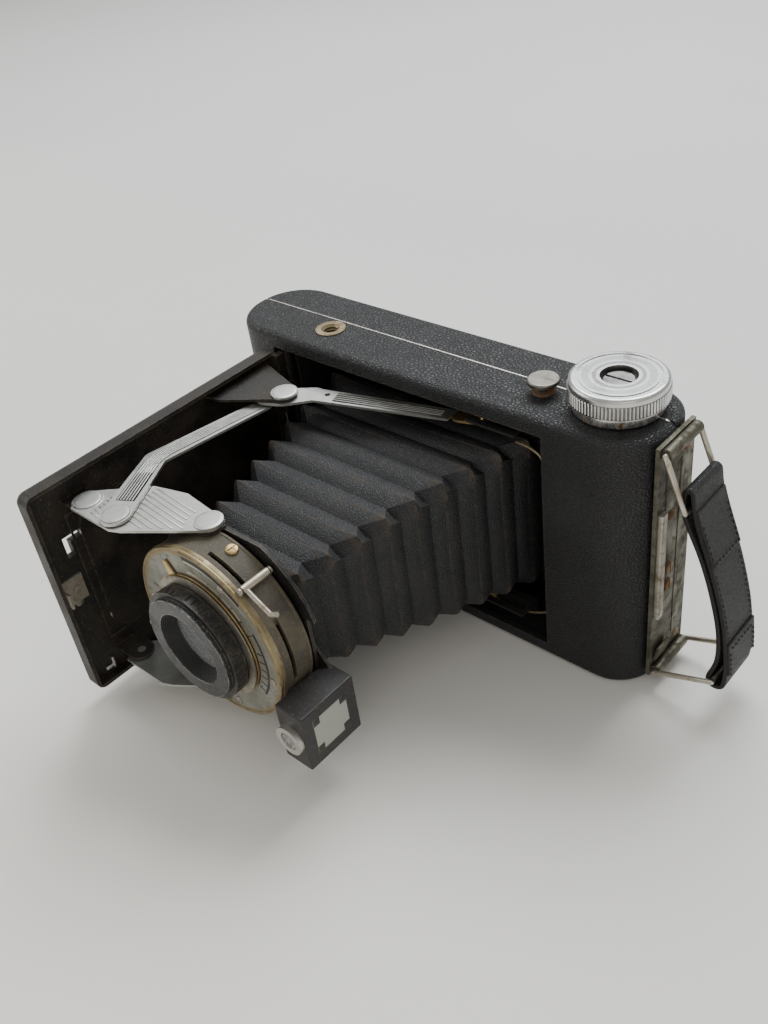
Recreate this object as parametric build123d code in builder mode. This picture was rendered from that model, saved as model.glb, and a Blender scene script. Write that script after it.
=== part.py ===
from build123d import *
from math import cos, radians, sin
import os

os.makedirs("parts", exist_ok=True)

# Folding roll-film camera standing on its long side, bed opened out to the left.
# Frame: X along the body, -Y the way the lens looks, Z up; z = 0 is what it stands on,
# x = 0 the middle of the body's length, y = 0 the middle of its thickness. Millimetres.

# --- body shell
body_h = 85.0            # standing height, the camera's width across the film
body_left = -77.2
body_right = 76.2        # under the nickel end plate
body_front = -16.0
body_back = 15.5
round_left = 15.2
round_right = 13.0
edge_round = 2.0
wall = 2.0
seam_y = 1.2             # joint between the front shell and the back door
seam_half = 0.35
mid_z = body_h / 2

# --- front opening and the well behind it
open_left = -56.0
open_right = 46.4
open_low = 4.9
open_high = body_h - open_low
gate_front = 7.5
gate_t = 1.2
gate_w = 83.0            # picture size, long way along X
gate_h = 56.0
gate_x = -2.5
well_left = -50.4
well_wall = 0.6
well_right = 46.0
well_t = 1.0
shelf_y = -11.3          # light shelf behind the bed hinge
shelf_t = 0.8

# --- bed (drop door), open at rest
hinge_x = -53.0
hinge_y = -13.6
pin_r = 0.9
barrel_r = 1.9
running = 0.1
bed_outer = -60.0
bed_skin = -59.0         # sheet starts here, leather lies outside it
bed_floor = -57.8
bed_rim = -54.8
bed_sheet = 1.2
bed_rear = -17.6
bed_end = -111.6
bed_low = 5.6
bed_high = body_h - bed_low
liner_t = 0.5

# --- strut layers, measured on the upper side and mirrored for the lower one
lug_z = body_h - 14.5
plate_z = body_h - 13.4
link_z = body_h - 12.3
brace_z = body_h - 10.8
ear_z = body_h - 9.7
strut_t = 0.8
head_t = 0.7
low_head_t = 0.4
head_r = 4.1
rivet_r = 1.3
hole_r = 1.37
brace_pivot = (-37.1, -30.4)
plate_pivot = (-49.6, -96.4)
link_pivot = (-35.8, -96.8)
front_pivot = (-12.4, -83.7)
link_elbow = (-48.2, -73.0)
link_end = (-42.0, -35.5)
brace_step = (-30.6, -25.0)
knee_r = 3.7             # the brace narrows here, past its pivot
brace_clip = (14.4, -12.3)
brace_end = (22.6, -10.4)
guide_x1 = 33.2          # far end of the tip's travel along its guide

# --- standard, shutter and lens, all round one axis along Y
axis_x = -9.0
axis_z = mid_z
standard_y = -81.4       # back face of the standard
standard_t = 1.0
disc_r = 31.5
drum_r = 27.7
drum_back = -83.2
drum_front = -94.2
face_t = 0.8
mount_r = 16.8
mount_front = -97.2
focus_r = 17.4
focus_front = -101.4
ring_r = 15.8
ring_front = -102.8
glass_r = 9.6
bore_r = 11.3            # mouth of the black bore in front of the glass
cell_r = 12.0

# --- controls
knob_x = 59.4
knob_y = seam_y
knob_r = 13.1
knob_top = body_h + 9.15
skirt_r = 12.2
skirt_gap = 0.4
knob_low = body_h + 2.9
button_x = 38.6
button_y = -2.7
tripod_x = -40.2
tripod_y = -4.6
tripod_r = 2.6           # quarter-inch thread, minor diameter
tripod_rim = 4.8

# --- hinge of the back door and the supply spool seat
door_hinge_x = body_left - 0.4
door_knuckle_r = 1.5
door_pin_r = 0.7
knuckle_gap = 0.4
door_knuckle_low = 14.0
supply_x = -62.4
supply_y = 1.5


def save(part, name):
    part.label = name
    export_step(part, f"parts/{name}.step")


def mirrored(side, z, thick):
    """Lower face of a layer, on the upper side or mirrored to the lower one."""
    return z if side == "upper" else body_h - z - thick


def bar(a, b, ra, rb):
    with BuildSketch() as s:
        with Locations(a):
            Circle(ra)
        with Locations(b):
            Circle(rb)
        make_hull()
    return s.sketch


def disc(p, r):
    with BuildSketch() as s:
        with Locations(p):
            Circle(r)
    return s.sketch


def shell_outline(inset):
    """Body outline seen from above; the inset makes the inside of the wall."""
    w = body_right - body_left - 2 * inset
    t = body_back - body_front - 2 * inset
    with BuildSketch() as s:
        with Locations(((body_left + body_right) / 2, (body_front + body_back) / 2)):
            Rectangle(w, t)
        fillet(s.vertices().group_by(Axis.X)[0], round_left - inset)
        fillet(s.vertices().group_by(Axis.X)[-1], round_right - inset)
    return s.sketch


def block(x0, x1, y0, y1, z0, z1, mode=Mode.ADD):
    with Locations(((x0 + x1) / 2, (y0 + y1) / 2, (z0 + z1) / 2)):
        Box(x1 - x0, y1 - y0, z1 - z0, mode=mode)


def upright(x, y, r, z0, z1, mode=Mode.ADD):
    """Cylinder along Z."""
    with Locations((x, y, (z0 + z1) / 2)):
        Cylinder(r, z1 - z0, mode=mode)


def along_y(x, z, r, y0, y1, mode=Mode.ADD):
    """Cylinder along Y."""
    with Locations((x, (y0 + y1) / 2, z)):
        Cylinder(r, y1 - y0, rotation=(90, 0, 0), mode=mode)


outer = shell_outline(0)
inner = shell_outline(wall)
big = 400.0

# ===================================================== body shell, front half
boss_r = 3.4
with BuildPart() as front_shell:
    with BuildSketch(Plane.XY):
        add(outer)
    extrude(amount=body_h)
    fillet(front_shell.edges().group_by(Axis.Z)[0], edge_round)
    fillet(front_shell.edges().group_by(Axis.Z)[-1], edge_round)
    with BuildSketch(Plane.XY.offset(wall)):
        add(inner)
    extrude(amount=body_h - 2 * wall, mode=Mode.SUBTRACT)
    block(-big / 2, big / 2, seam_y - seam_half, big / 2, -big / 2, big / 2, Mode.SUBTRACT)
    block(open_left, open_right, body_front - wall, body_front + wall * 2,
          open_low, open_high, Mode.SUBTRACT)
    upright(knob_x, knob_y, boss_r, body_h - wall, body_h)
    upright(knob_x, knob_y, 1.9 + running, body_h - wall * 2, body_h + wall, Mode.SUBTRACT)
    upright(tripod_x, tripod_y, 4.0, body_h - wall * 2, body_h + wall, Mode.SUBTRACT)
    upright(button_x, button_y, 1.3 + running, body_h - wall * 2, body_h + wall, Mode.SUBTRACT)
    # spool pins of the supply side
    for side in ("upper", "lower"):
        z_pin = mirrored(side, body_h - wall - 4.0, 4.0)
        z_cap = mirrored(side, body_h - wall - 1.0, 1.0)
        block(supply_x - 4, supply_x + 4, supply_y - 8.0, seam_y - seam_half, z_cap, z_cap + 1.0)
        upright(supply_x, supply_y - 3.6, 1.7, z_pin, z_pin + 4.0)
    # back door hinge: pin and the two outer knuckles
    upright(door_hinge_x, seam_y, door_knuckle_r + knuckle_gap,
            door_knuckle_low, body_h - door_knuckle_low, Mode.SUBTRACT)
    upright(door_hinge_x, seam_y, door_pin_r, 4.0, body_h - 4.0)
    for z0 in (4.0, body_h - door_knuckle_low):
        upright(door_hinge_x, seam_y, door_knuckle_r, z0, z0 + door_knuckle_low - 4.0)
        block(door_hinge_x, body_left + 1.6, seam_y - door_knuckle_r, seam_y - seam_half,
              z0, z0 + door_knuckle_low - 4.0)
    # bed hinge pin between the two side walls
    for z0, z1 in ((wall, open_low + 0.1), (open_high - 0.1, body_h - wall)):
        block(open_left - 1, well_left - 0.2, body_front + 1.0, shelf_y - 0.2, z0, z1)
    upright(hinge_x, hinge_y, pin_r, open_low, open_high)
save(front_shell.part, "front_shell")

# ===================================================== bright strip round the joint
strip_out = 0.15
with BuildPart() as seam_strip:
    with BuildSketch(Plane.XZ.offset(-(seam_y - seam_half))):
        with Locations(((body_left + body_right) / 2, mid_z)):
            RectangleRounded(body_right - body_left - 2, body_h + 2 * strip_out, 2.2)
            RectangleRounded(body_right - body_left - 7.4, body_h - 2 * strip_out - 1, 1.8,
                             mode=Mode.SUBTRACT)
    extrude(amount=-0.4)
    upright(knob_x, knob_y, boss_r + 0.1, body_h - wall, body_h + wall, Mode.SUBTRACT)
    block(-big / 2, body_left + 2.4, -big / 2, big / 2, 0, body_h, Mode.SUBTRACT)
    block(body_left + 2.3, body_left + 3.0, seam_y - seam_half, seam_y + 0.05, 3.0, body_h - 3.0)
save(seam_strip.part, "seam_strip")

# ===================================================== film gate and well
roller_r = 1.5
roller_y = 8.0
roller_left = well_left + 0.3 + roller_r
roller_right = well_right - 0.3 - roller_r
roller_low = 9.0
axle_r = 0.8
bracket_t = 1.2
guide_z = brace_z + strut_t + 0.4
guide_x0 = brace_end[0]
guide_y = brace_end[1] + 0.2
relief_t = 0.5            # pocket in the gate plate that the folded brace turns into
with BuildPart() as film_gate:
    block(roller_left + roller_r + 0.5, roller_right - roller_r - 0.5,
          gate_front, gate_front + gate_t, wall, body_h - wall)
    block(gate_x - gate_w / 2, gate_x + gate_w / 2, gate_front - 1, gate_front + gate_t + 1,
          mid_z - gate_h / 2, mid_z + gate_h / 2, Mode.SUBTRACT)
    for side in ("upper", "lower"):
        z_relief = mirrored(side, brace_z - 0.6, strut_t + 1.2)
        block(-38.0, -18.0, gate_front - 1, gate_front + relief_t, z_relief, z_relief + strut_t + 1.2,
              Mode.SUBTRACT)
    for z0 in (roller_low - bracket_t - 0.3, body_h - roller_low + 0.3):
        for x0, x1 in ((well_left, roller_left + roller_r + 1), (roller_right - roller_r - 1, well_right)):
            block(x0, x1, roller_y - 1.6, roller_y + 1.4, z0, z0 + bracket_t)
    for x in (roller_left, roller_right):
        upright(x, roller_y, axle_r + 0.06, roller_low - 3, body_h - roller_low + 3, Mode.SUBTRACT)
save(film_gate.part, "film_gate")

with BuildPart() as well_frame:
    for z0 in (wall, body_h - wall - bracket_t):
        block(well_left, well_right + well_wall, body_front + wall + 1.6, gate_front,
              z0, z0 + bracket_t)
    for side in ("upper", "lower"):
        z_guide = mirrored(side, guide_z, strut_t)
        z_web, z_top = sorted((z_guide, mirrored(side, body_h - wall - strut_t, strut_t)))
        block(guide_x0 - 3, guide_x1 + 3, guide_y - 4, guide_y + 5, z_guide, z_guide + strut_t)
        block(guide_x0 - 3, guide_x1 + 3, guide_y + 4, guide_y + 5, z_web, z_top + strut_t)
        block(guide_x0 - 1.9, guide_x1 + 1.9, guide_y - 1.9, guide_y + 1.9,
              z_guide - 1, z_guide + 2, Mode.SUBTRACT)
    upright(tripod_x, tripod_y, 4.1, mid_z, body_h, Mode.SUBTRACT)
    upright(button_x, button_y, 2.6, mid_z, body_h, Mode.SUBTRACT)
save(well_frame.part, "well_frame")

# side walls of the well, standing between its floor and ceiling
with BuildPart() as well_sides:
    for x0, x1, y0 in ((well_left, well_left + well_t, body_front + wall + 1.6),
                       (well_right, well_right + well_wall, body_front + wall),
                       (well_left - 7.6, well_left + well_t, shelf_y)):
        y1 = shelf_y + shelf_t if y0 == shelf_y else gate_front - 1.2
        block(x0, x1, y0, y1, wall + bracket_t, body_h - wall - bracket_t)
save(well_sides.part, "well_sides")

for name, x in (("left", roller_left), ("right", roller_right)):
    with BuildPart() as roller:
        upright(x, roller_y, roller_r, roller_low, body_h - roller_low)
        upright(x, roller_y, axle_r, roller_low - bracket_t - 0.3,
                body_h - roller_low + bracket_t + 0.3)
    save(roller.part, f"film_roller_{name}")

# ===================================================== tripod bush
with BuildPart() as tripod_bush:
    upright(tripod_x, tripod_y, tripod_rim, body_h, body_h + 0.35)
    upright(tripod_x, tripod_y, 4.0, body_h - 7.0, body_h)
    upright(tripod_x, tripod_y, tripod_r, body_h - 6.0, body_h + 1, Mode.SUBTRACT)
    with Locations((tripod_x, tripod_y, body_h + 0.35)):
        Cone(tripod_r, tripod_r + 0.7, 1.0, mode=Mode.SUBTRACT)
save(tripod_bush.part, "tripod_bush")

# ===================================================== back door and its hinge
plate_clear = 0.5
pressure_y = gate_front + gate_t + 1.1
pressure_t = 0.8
pressure_w = 84.0
pressure_h = 64.0
spring_w = 9.0
spring_t = 0.5
door_inside = body_back - wall
window_x = 27.0
window_z = mid_z
window_r = 6.0
with BuildPart() as back_shell:
    with BuildSketch(Plane.XY):
        add(outer)
    extrude(amount=body_h)
    fillet(back_shell.edges().group_by(Axis.Z)[0], edge_round)
    fillet(back_shell.edges().group_by(Axis.Z)[-1], edge_round)
    with BuildSketch(Plane.XY.offset(wall)):
        add(inner)
    extrude(amount=body_h - 2 * wall, mode=Mode.SUBTRACT)
    block(-big / 2, big / 2, -big / 2, seam_y + seam_half, -big / 2, big / 2, Mode.SUBTRACT)
    block(body_right - plate_clear, big / 2, -big / 2, big / 2, -big / 2, big / 2, Mode.SUBTRACT)
    upright(knob_x, knob_y, boss_r + 0.4, body_h - 2 * wall, body_h + wall, Mode.SUBTRACT)
    along_y(window_x, window_z, window_r, body_back - 2 * wall, body_back + wall, Mode.SUBTRACT)
    for z0 in (0, body_h - door_knuckle_low - knuckle_gap):
        upright(door_hinge_x, seam_y, door_knuckle_r + knuckle_gap,
                z0, z0 + door_knuckle_low + knuckle_gap, Mode.SUBTRACT)
    block(body_left + 0.4, body_left + 3.0, seam_y + seam_half, seam_y + 4.0,
          door_knuckle_low + knuckle_gap, body_h - door_knuckle_low - knuckle_gap)
    block(door_hinge_x, body_left + 1.0, seam_y + seam_half, seam_y + door_knuckle_r,
          door_knuckle_low + knuckle_gap, body_h - door_knuckle_low - knuckle_gap)
    upright(door_hinge_x, seam_y, door_knuckle_r,
            door_knuckle_low + knuckle_gap, body_h - door_knuckle_low - knuckle_gap)
    upright(door_hinge_x, seam_y, door_pin_r + 0.08, 0, body_h, Mode.SUBTRACT)
save(back_shell.part, "back_shell")

with BuildPart() as pressure_plate:
    block(gate_x - pressure_w / 2, gate_x + pressure_w / 2, pressure_y, pressure_y + pressure_t,
          mid_z - pressure_h / 2, mid_z + pressure_h / 2)
    along_y(window_x, window_z, window_r - 1.0, pressure_y - 1, pressure_y + 2, Mode.SUBTRACT)
    with BuildSketch(Plane.XY.offset(mid_z - spring_w / 2)):
        with BuildLine():
            Polyline((gate_x - 30, door_inside - spring_t), (gate_x - 24, door_inside - spring_t),
                     (gate_x - 10, pressure_y + pressure_t), (gate_x + 5, pressure_y + pressure_t),
                     (gate_x + 15, door_inside - spring_t), (gate_x + 19, door_inside - spring_t),
                     (gate_x + 19, door_inside), (gate_x + 14.7, door_inside),
                     (gate_x + 4.8, pressure_y + pressure_t + spring_t),
                     (gate_x - 9.8, pressure_y + pressure_t + spring_t),
                     (gate_x - 23.8, door_inside), (gate_x - 30, door_inside), close=True)
        make_face()
    extrude(amount=spring_w)
save(pressure_plate.part, "pressure_plate")

window_rim = 8.2
with BuildPart() as red_window:
    along_y(window_x, window_z, window_r - 1.0, body_back - 1.2, body_back - 0.4)
save(red_window.part, "red_window")

# sliding cover over the window, held by two rails
cover_w = 20.0
cover_h = 14.0
rail_t = 1.4
cover_y = body_back + 0.8
cover_t = 0.8
with BuildPart() as window_rails:
    along_y(window_x, window_z, window_rim, body_back, body_back + 0.5)
    along_y(window_x, window_z, window_r, body_back - wall, body_back + 0.5)
    along_y(window_x, window_z, window_r - 1.0, 0, big / 4, Mode.SUBTRACT)
    for s in (-1, 1):
        z_in = window_z + s * (cover_h / 2 + 0.3)
        z_out = z_in + s * rail_t
        z_lip = z_in - s * 1.1
        lo, hi = sorted((z_in, z_out))
        block(window_x - 11, window_x + 25, body_back, cover_y + cover_t + 1.0, lo, hi)
        lo, hi = sorted((z_lip, z_out))
        block(window_x - 11, window_x + 25, cover_y + cover_t + 0.3, cover_y + cover_t + 1.0, lo, hi)
    block(window_x - 11, window_x - 10, body_back, body_back + 0.5,
          window_z - cover_h / 2 - 0.3, window_z + cover_h / 2 + 0.3)
save(window_rails.part, "window_rails")
with BuildPart() as window_cover:
    block(window_x - 9.6, window_x + 10.4, cover_y, cover_y + cover_t,
          window_z - cover_h / 2, window_z + cover_h / 2)
    for i in range(5):
        block(window_x + 3 + i * 1.3, window_x + 3.6 + i * 1.3, cover_y, cover_y + cover_t + 1.2,
              window_z - 4, window_z + 4)
save(window_cover.part, "window_cover")

# ===================================================== bed and its hinge
barrel_spans = ((bed_low + 0.4, bed_low + 22), (body_h - bed_low - 22, body_h - bed_low - 0.4))
ear_corners = ((-57.9, -44.5), (-57.9, -21.0), (-55.0, -20.4), (-35.4, -26.4), (-33.2, -29.0),
               (-34.0, -32.4), (-52.0, -43.6))
foot_y0, foot_y1 = -100.0, -58.0
liner_mid = -64.0
liner_len = 68.0
liner_w = 47.0
l_slot_z = 60.0
l_slot_y = -103.0
with BuildPart() as bed_tray:
    block(bed_skin, bed_rim, bed_end, bed_rear, bed_low, bed_high)
    fillet(bed_tray.edges().filter_by(Axis.X).group_by(Axis.Y)[0], 3.0)
    block(bed_floor, bed_rim + 1, bed_end + bed_sheet, bed_rear - bed_sheet,
          bed_low + bed_sheet, bed_high - bed_sheet, Mode.SUBTRACT)
    for z0, z1 in barrel_spans:
        block(hinge_x - 1.0, hinge_x + 1.0, bed_rear - bed_sheet, hinge_y, z0, z1)
        block(bed_skin, hinge_x + 1.0, bed_rear - bed_sheet, bed_rear, z0, z1)
        upright(hinge_x, hinge_y, barrel_r, z0, z1)
        upright(hinge_x, hinge_y, pin_r + 0.08, 0, body_h, Mode.SUBTRACT)
    for side in ("upper", "lower"):
        z_ear = mirrored(side, ear_z, strut_t)
        with BuildSketch(Plane.XY.offset(z_ear)):
            with BuildLine():
                Polyline(*ear_corners, close=True)
            make_face()
        extrude(amount=strut_t)
        z_lug = mirrored(side, lug_z, strut_t)
        block(bed_floor - 0.5, plate_pivot[0], plate_pivot[1] - 4, plate_pivot[1] + 4,
              z_lug, z_lug + strut_t)
        upright(plate_pivot[0], plate_pivot[1], 4.0, z_lug, z_lug + strut_t)
        upright(*plate_pivot, hole_r, z_lug - 1, z_lug + 2, Mode.SUBTRACT)
        upright(*brace_pivot, hole_r, z_ear - 1, z_ear + 2, Mode.SUBTRACT)
    block(bed_outer - 1, bed_floor + 1, l_slot_y - 1.1, l_slot_y + 1.1, l_slot_z - 7, l_slot_z,
          Mode.SUBTRACT)
    block(bed_outer - 1, bed_floor + 1, l_slot_y - 1.1, l_slot_y + 5, l_slot_z - 2.2, l_slot_z,
          Mode.SUBTRACT)
    with BuildSketch(Plane.YZ.offset(bed_floor)):
        with Locations((liner_mid, mid_z)):
            RectangleRounded(liner_len, liner_w, 7.0)
    extrude(amount=liner_t)
    upright(bed_outer + 0.3, foot_y1 - 1.0, 0.25, mid_z - 5.6, mid_z + 5.6)
    for z0 in (mid_z - 5.8, mid_z + 4.8):
        block(bed_outer + 0.02, bed_skin, foot_y1 - 1.5, foot_y1 - 0.5, z0, z0 + 1.0)
save(bed_tray.part, "bed_tray")

with BuildPart() as bed_leather:
    block(bed_outer, bed_skin, bed_end, bed_rear, bed_low, bed_high)
    fillet(bed_leather.edges().filter_by(Axis.X).group_by(Axis.Y)[0], 3.0)
    chamfer(bed_leather.faces().sort_by(Axis.X)[0].edges(), 0.6)
    block(bed_outer - 1, bed_skin + 1, l_slot_y - 1.1, l_slot_y + 1.1, l_slot_z - 7, l_slot_z,
          Mode.SUBTRACT)
    block(bed_outer - 1, bed_skin + 1, l_slot_y - 1.1, l_slot_y + 5, l_slot_z - 2.2, l_slot_z,
          Mode.SUBTRACT)
    block(bed_outer - 1, bed_skin + 0.1, foot_y0 - 1.5, foot_y1 + 1.5, mid_z - 6, mid_z + 6,
          Mode.SUBTRACT)
save(bed_leather.part, "bed_leather")

# swing-out foot lying in its recess on the outside of the bed
foot_hinge_x = bed_skin - 0.35
foot_t = 0.9
foot_barrel = 0.55
with BuildPart() as bed_foot:
    block(bed_outer - 0.25, foot_hinge_x - 0.1, foot_y0, foot_y1 - 1.0, mid_z - 4.5, mid_z + 4.5)
    fillet(bed_foot.edges().filter_by(Axis.X).group_by(Axis.Y)[0], 4.0)
    upright(bed_outer + 0.3, foot_y1 - 1.0, foot_barrel, mid_z - 4.5, mid_z + 4.5)
    upright(bed_outer + 0.3, foot_y1 - 1.0, 0.3, 0, body_h, Mode.SUBTRACT)
save(bed_foot.part, "bed_foot")
# spring catch at the free end of the bed
catch_w = 9.0
with BuildPart() as bed_catch:
    block(bed_floor, bed_floor + 0.6, bed_end + bed_sheet, bed_end + 9, mid_z - catch_w / 2, mid_z + catch_w / 2)
    block(bed_floor, bed_rim + 1.6, bed_end + bed_sheet, bed_end + bed_sheet + 0.7,
          mid_z - 2.6, mid_z + 2.6)
    with Locations((bed_floor + 0.6, bed_end + 6, mid_z)):
        Cylinder(1.3, 0.8, rotation=(0, 90, 0))
save(bed_catch.part, "bed_catch")

# ===================================================== struts, upper and lower alike
def riveted(side, p, z_low, z_high, thick):
    """Rivet of the strut being built: shank inwards to the layer it turns in, flat head outside."""
    z_shank = mirrored(side, z_low, z_high - z_low)
    z_head = mirrored(side, z_high, thick)
    upright(*p, rivet_r, z_shank, z_shank + z_high - z_low)
    upright(*p, head_r, z_head, z_head + thick)


for side in ("upper", "lower"):
    z0 = mirrored(side, brace_z, strut_t)
    body_bar = bar(brace_pivot, brace_step, 4.6, knee_r)
    long_bar = bar(brace_step, brace_clip, 3.3, 2.6)
    short_bar = bar(brace_pivot, (-41.6, -33.6), 4.6, 3.4)
    with BuildPart() as brace:
        with BuildSketch(Plane.XY.offset(z0)):
            add(body_bar)
            add(long_bar)
            add(short_bar)
        extrude(amount=strut_t)
        upright(-26.1, -23.0, 0.9, 0, body_h, Mode.SUBTRACT)
        riveted(side, brace_pivot, brace_z, ear_z + strut_t, head_t)
        block(brace_clip[0] - 0.4, brace_end[0] + 4, brace_clip[1] - 5, brace_end[1] + 5,
              0, body_h, Mode.SUBTRACT)
    save(brace.part, f"brace_{side}")

    tip_bar = bar((brace_clip[0] + 1.8, brace_clip[1] + 0.3), (brace_end[0] - 0.2, brace_end[1]), 2.4, 2.0)
    z_pin = mirrored(side, brace_z + strut_t, 1.6)
    with BuildPart() as tip:
        with BuildSketch(Plane.XY.offset(z0)):
            add(tip_bar)
        extrude(amount=strut_t)
        block(0, brace_clip[0] - 0.4, -20, 0, 0, body_h, Mode.SUBTRACT)
        upright(brace_end[0], brace_end[1], 0.9, z_pin, z_pin + 1.6)
    save(tip.part, f"brace_tip_{side}")

    z1 = mirrored(side, link_z, strut_t)
    with BuildPart() as link:
        with BuildSketch(Plane.XY.offset(z1)):
            add(bar(link_pivot, link_elbow, 4.6, 3.6))
            add(bar(link_elbow, link_end, 3.6, 3.0))
        extrude(amount=strut_t)
        riveted(side, link_pivot, plate_z, link_z + strut_t, low_head_t)
    save(link.part, f"link_{side}")

    z2 = mirrored(side, plate_z, strut_t)
    with BuildPart() as plate:
        with BuildSketch(Plane.XY.offset(z2)):
            with BuildLine():
                Polyline((-51.0, -101.4), (-33.6, -101.4), (-30.1, -100.0), (-10.4, -87.3),
                         (-9.2, -80.9), (-27.2, -78.6), (-38.2, -81.4), (-51.4, -92.0), close=True)
            make_face()
            add(disc(plate_pivot, 4.6))
            add(disc(front_pivot, 4.0))
        extrude(amount=strut_t)
        upright(*link_pivot, hole_r, 0, body_h, Mode.SUBTRACT)
        for p in (plate_pivot, front_pivot):
            riveted(side, p, lug_z, plate_z + strut_t, low_head_t)
    save(plate.part, f"plate_{side}")

# ===================================================== lens standard
finder_x0, finder_x1 = 18.5, 28.5
finder_z0, finder_z1 = 15.2, 34.7
finder_y0, finder_y1 = -99.0, -79.4
finder_pivot = (15.5, 38.5)
flat_z = 28.0
tab_low = lug_z
with BuildPart() as standard:
    with BuildSketch(Plane.XZ.offset(-standard_y)):
        with Locations((axis_x, axis_z)):
            Circle(disc_r)
            Circle(cell_r + 0.4, mode=Mode.SUBTRACT)
    extrude(amount=standard_t)
    for z0, z1 in ((0, mid_z - flat_z), (mid_z + flat_z, body_h)):
        block(-big / 2, big / 2, -big / 2, 0, z0, z1, Mode.SUBTRACT)
    block(finder_x0 - 0.3, big / 2, -big / 2, 0, 0, finder_pivot[1] + 13.4, Mode.SUBTRACT)
    for side in ("upper", "lower"):
        z_tab = mirrored(side, tab_low, strut_t)
        z_in = mirrored(side, mid_z + flat_z - 1.5, tab_low - mid_z - flat_z + 1.5 + strut_t)
        block(front_pivot[0] - 4, front_pivot[0] + 4, front_pivot[1] - 0.2, standard_y,
              z_tab, z_tab + strut_t)
        upright(*front_pivot, 4.0, z_tab, z_tab + strut_t)
        block(front_pivot[0] - 4, front_pivot[0] + 4, standard_y - standard_t, standard_y,
              z_in, z_in + tab_low - mid_z - flat_z + 1.5 + strut_t)
        upright(*front_pivot, hole_r, z_tab - 1, z_tab + 2, Mode.SUBTRACT)
    along_y(finder_pivot[0], finder_pivot[1], 1.1 + 0.06, -big / 4, 0, Mode.SUBTRACT)
save(standard.part, "standard")

# ===================================================== bellows, a plain tapered sleeve
skin = 2.2
back_half = (42.6, 27.9)
front_half = (20.5, 17.5)
bellows_back = gate_front
with BuildPart() as bellows:
    with BuildSketch(Plane.XZ.offset(-bellows_back)):
        with Locations((gate_x, mid_z)):
            Rectangle(2 * back_half[0], 2 * back_half[1])
    with BuildSketch(Plane.XZ.offset(-standard_y)):
        with Locations((axis_x, axis_z)):
            Rectangle(2 * front_half[0], 2 * front_half[1])
    loft()
    with BuildSketch(Plane.XZ.offset(-bellows_back)):
        with Locations((gate_x, mid_z)):
            Rectangle(2 * (back_half[0] - skin), 2 * (back_half[1] - skin))
    with BuildSketch(Plane.XZ.offset(-standard_y)):
        with Locations((axis_x, axis_z)):
            Rectangle(2 * (front_half[0] - skin), 2 * (front_half[1] - skin))
    loft(mode=Mode.SUBTRACT)
save(bellows.part, "bellows")

# ===================================================== shutter case and face
case_wall = 1.4
hub_r = 13.6
with BuildPart() as shutter_case:
    along_y(axis_x, axis_z, drum_r, drum_front, drum_back)
    along_y(axis_x, axis_z, drum_r - case_wall, drum_front - 1, drum_back - 1.2, Mode.SUBTRACT)
    along_y(axis_x, axis_z, hub_r, drum_back - 6.0, drum_back)
    along_y(axis_x, axis_z, cell_r + 0.05, -big / 2, 0, Mode.SUBTRACT)
    fillet(shutter_case.edges().filter_by(GeomType.CIRCLE).sort_by(Axis.Y)[-1], 0.25)
    block(axis_x + drum_r - 4, axis_x + drum_r + 2, drum_front + 3.6, drum_front + 5.0,
          mid_z - 6, mid_z + 14, Mode.SUBTRACT)
    block(axis_x + 4, axis_x + 17, drum_front + 2.6, drum_front + 4.0,
          mid_z + 15, body_h, Mode.SUBTRACT)
save(shutter_case.part, "shutter_case")

pointer_slot_r = 22.6
with BuildPart() as shutter_face:
    along_y(axis_x, axis_z, drum_r, drum_front - face_t, drum_front)
    along_y(axis_x, axis_z, mount_r + 0.3, -big / 2, 0, Mode.SUBTRACT)
    fillet(shutter_face.edges().filter_by(GeomType.CIRCLE).sort_by(Axis.Y)[0], 0.3)
    with BuildSketch(Plane.XZ.offset(-drum_front - 1)):
        with Locations((axis_x, axis_z)):
            SlotArc(CenterArc((0, 0), pointer_slot_r, 100, 50), 1.6)
    extrude(amount=3, mode=Mode.SUBTRACT)
save(shutter_face.part, "shutter_face")

with BuildPart() as lens_mount:
    along_y(axis_x, axis_z, mount_r, mount_front, drum_front + 0.6)
    along_y(axis_x, axis_z, mount_r + 1.2, drum_front, drum_front + 0.9)
    along_y(axis_x, axis_z, cell_r + 0.05, -big / 2, 0, Mode.SUBTRACT)
    along_y(axis_x, axis_z, cell_r + 1.5, mount_front - 1, mount_front + 2.2, Mode.SUBTRACT)
save(lens_mount.part, "lens_mount")

# rear cell, iris and shutter blades inside the case
rear_y = standard_y + 2.6
with BuildPart() as rear_cell:
    along_y(axis_x, axis_z, cell_r, drum_back - 5.4, rear_y)
    along_y(axis_x, axis_z, glass_r, -big / 2, 0, Mode.SUBTRACT)
save(rear_cell.part, "rear_cell")
with BuildPart() as rear_glass:
    along_y(axis_x, axis_z, glass_r, rear_y - 3.0, rear_y - 0.6)
save(rear_glass.part, "rear_glass")
iris_open = 6.4
with BuildPart() as iris:
    along_y(axis_x, axis_z, cell_r, drum_back - 5.9, drum_back - 5.4)
    along_y(axis_x, axis_z, iris_open, -big / 2, 0, Mode.SUBTRACT)
save(iris.part, "iris")

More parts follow.
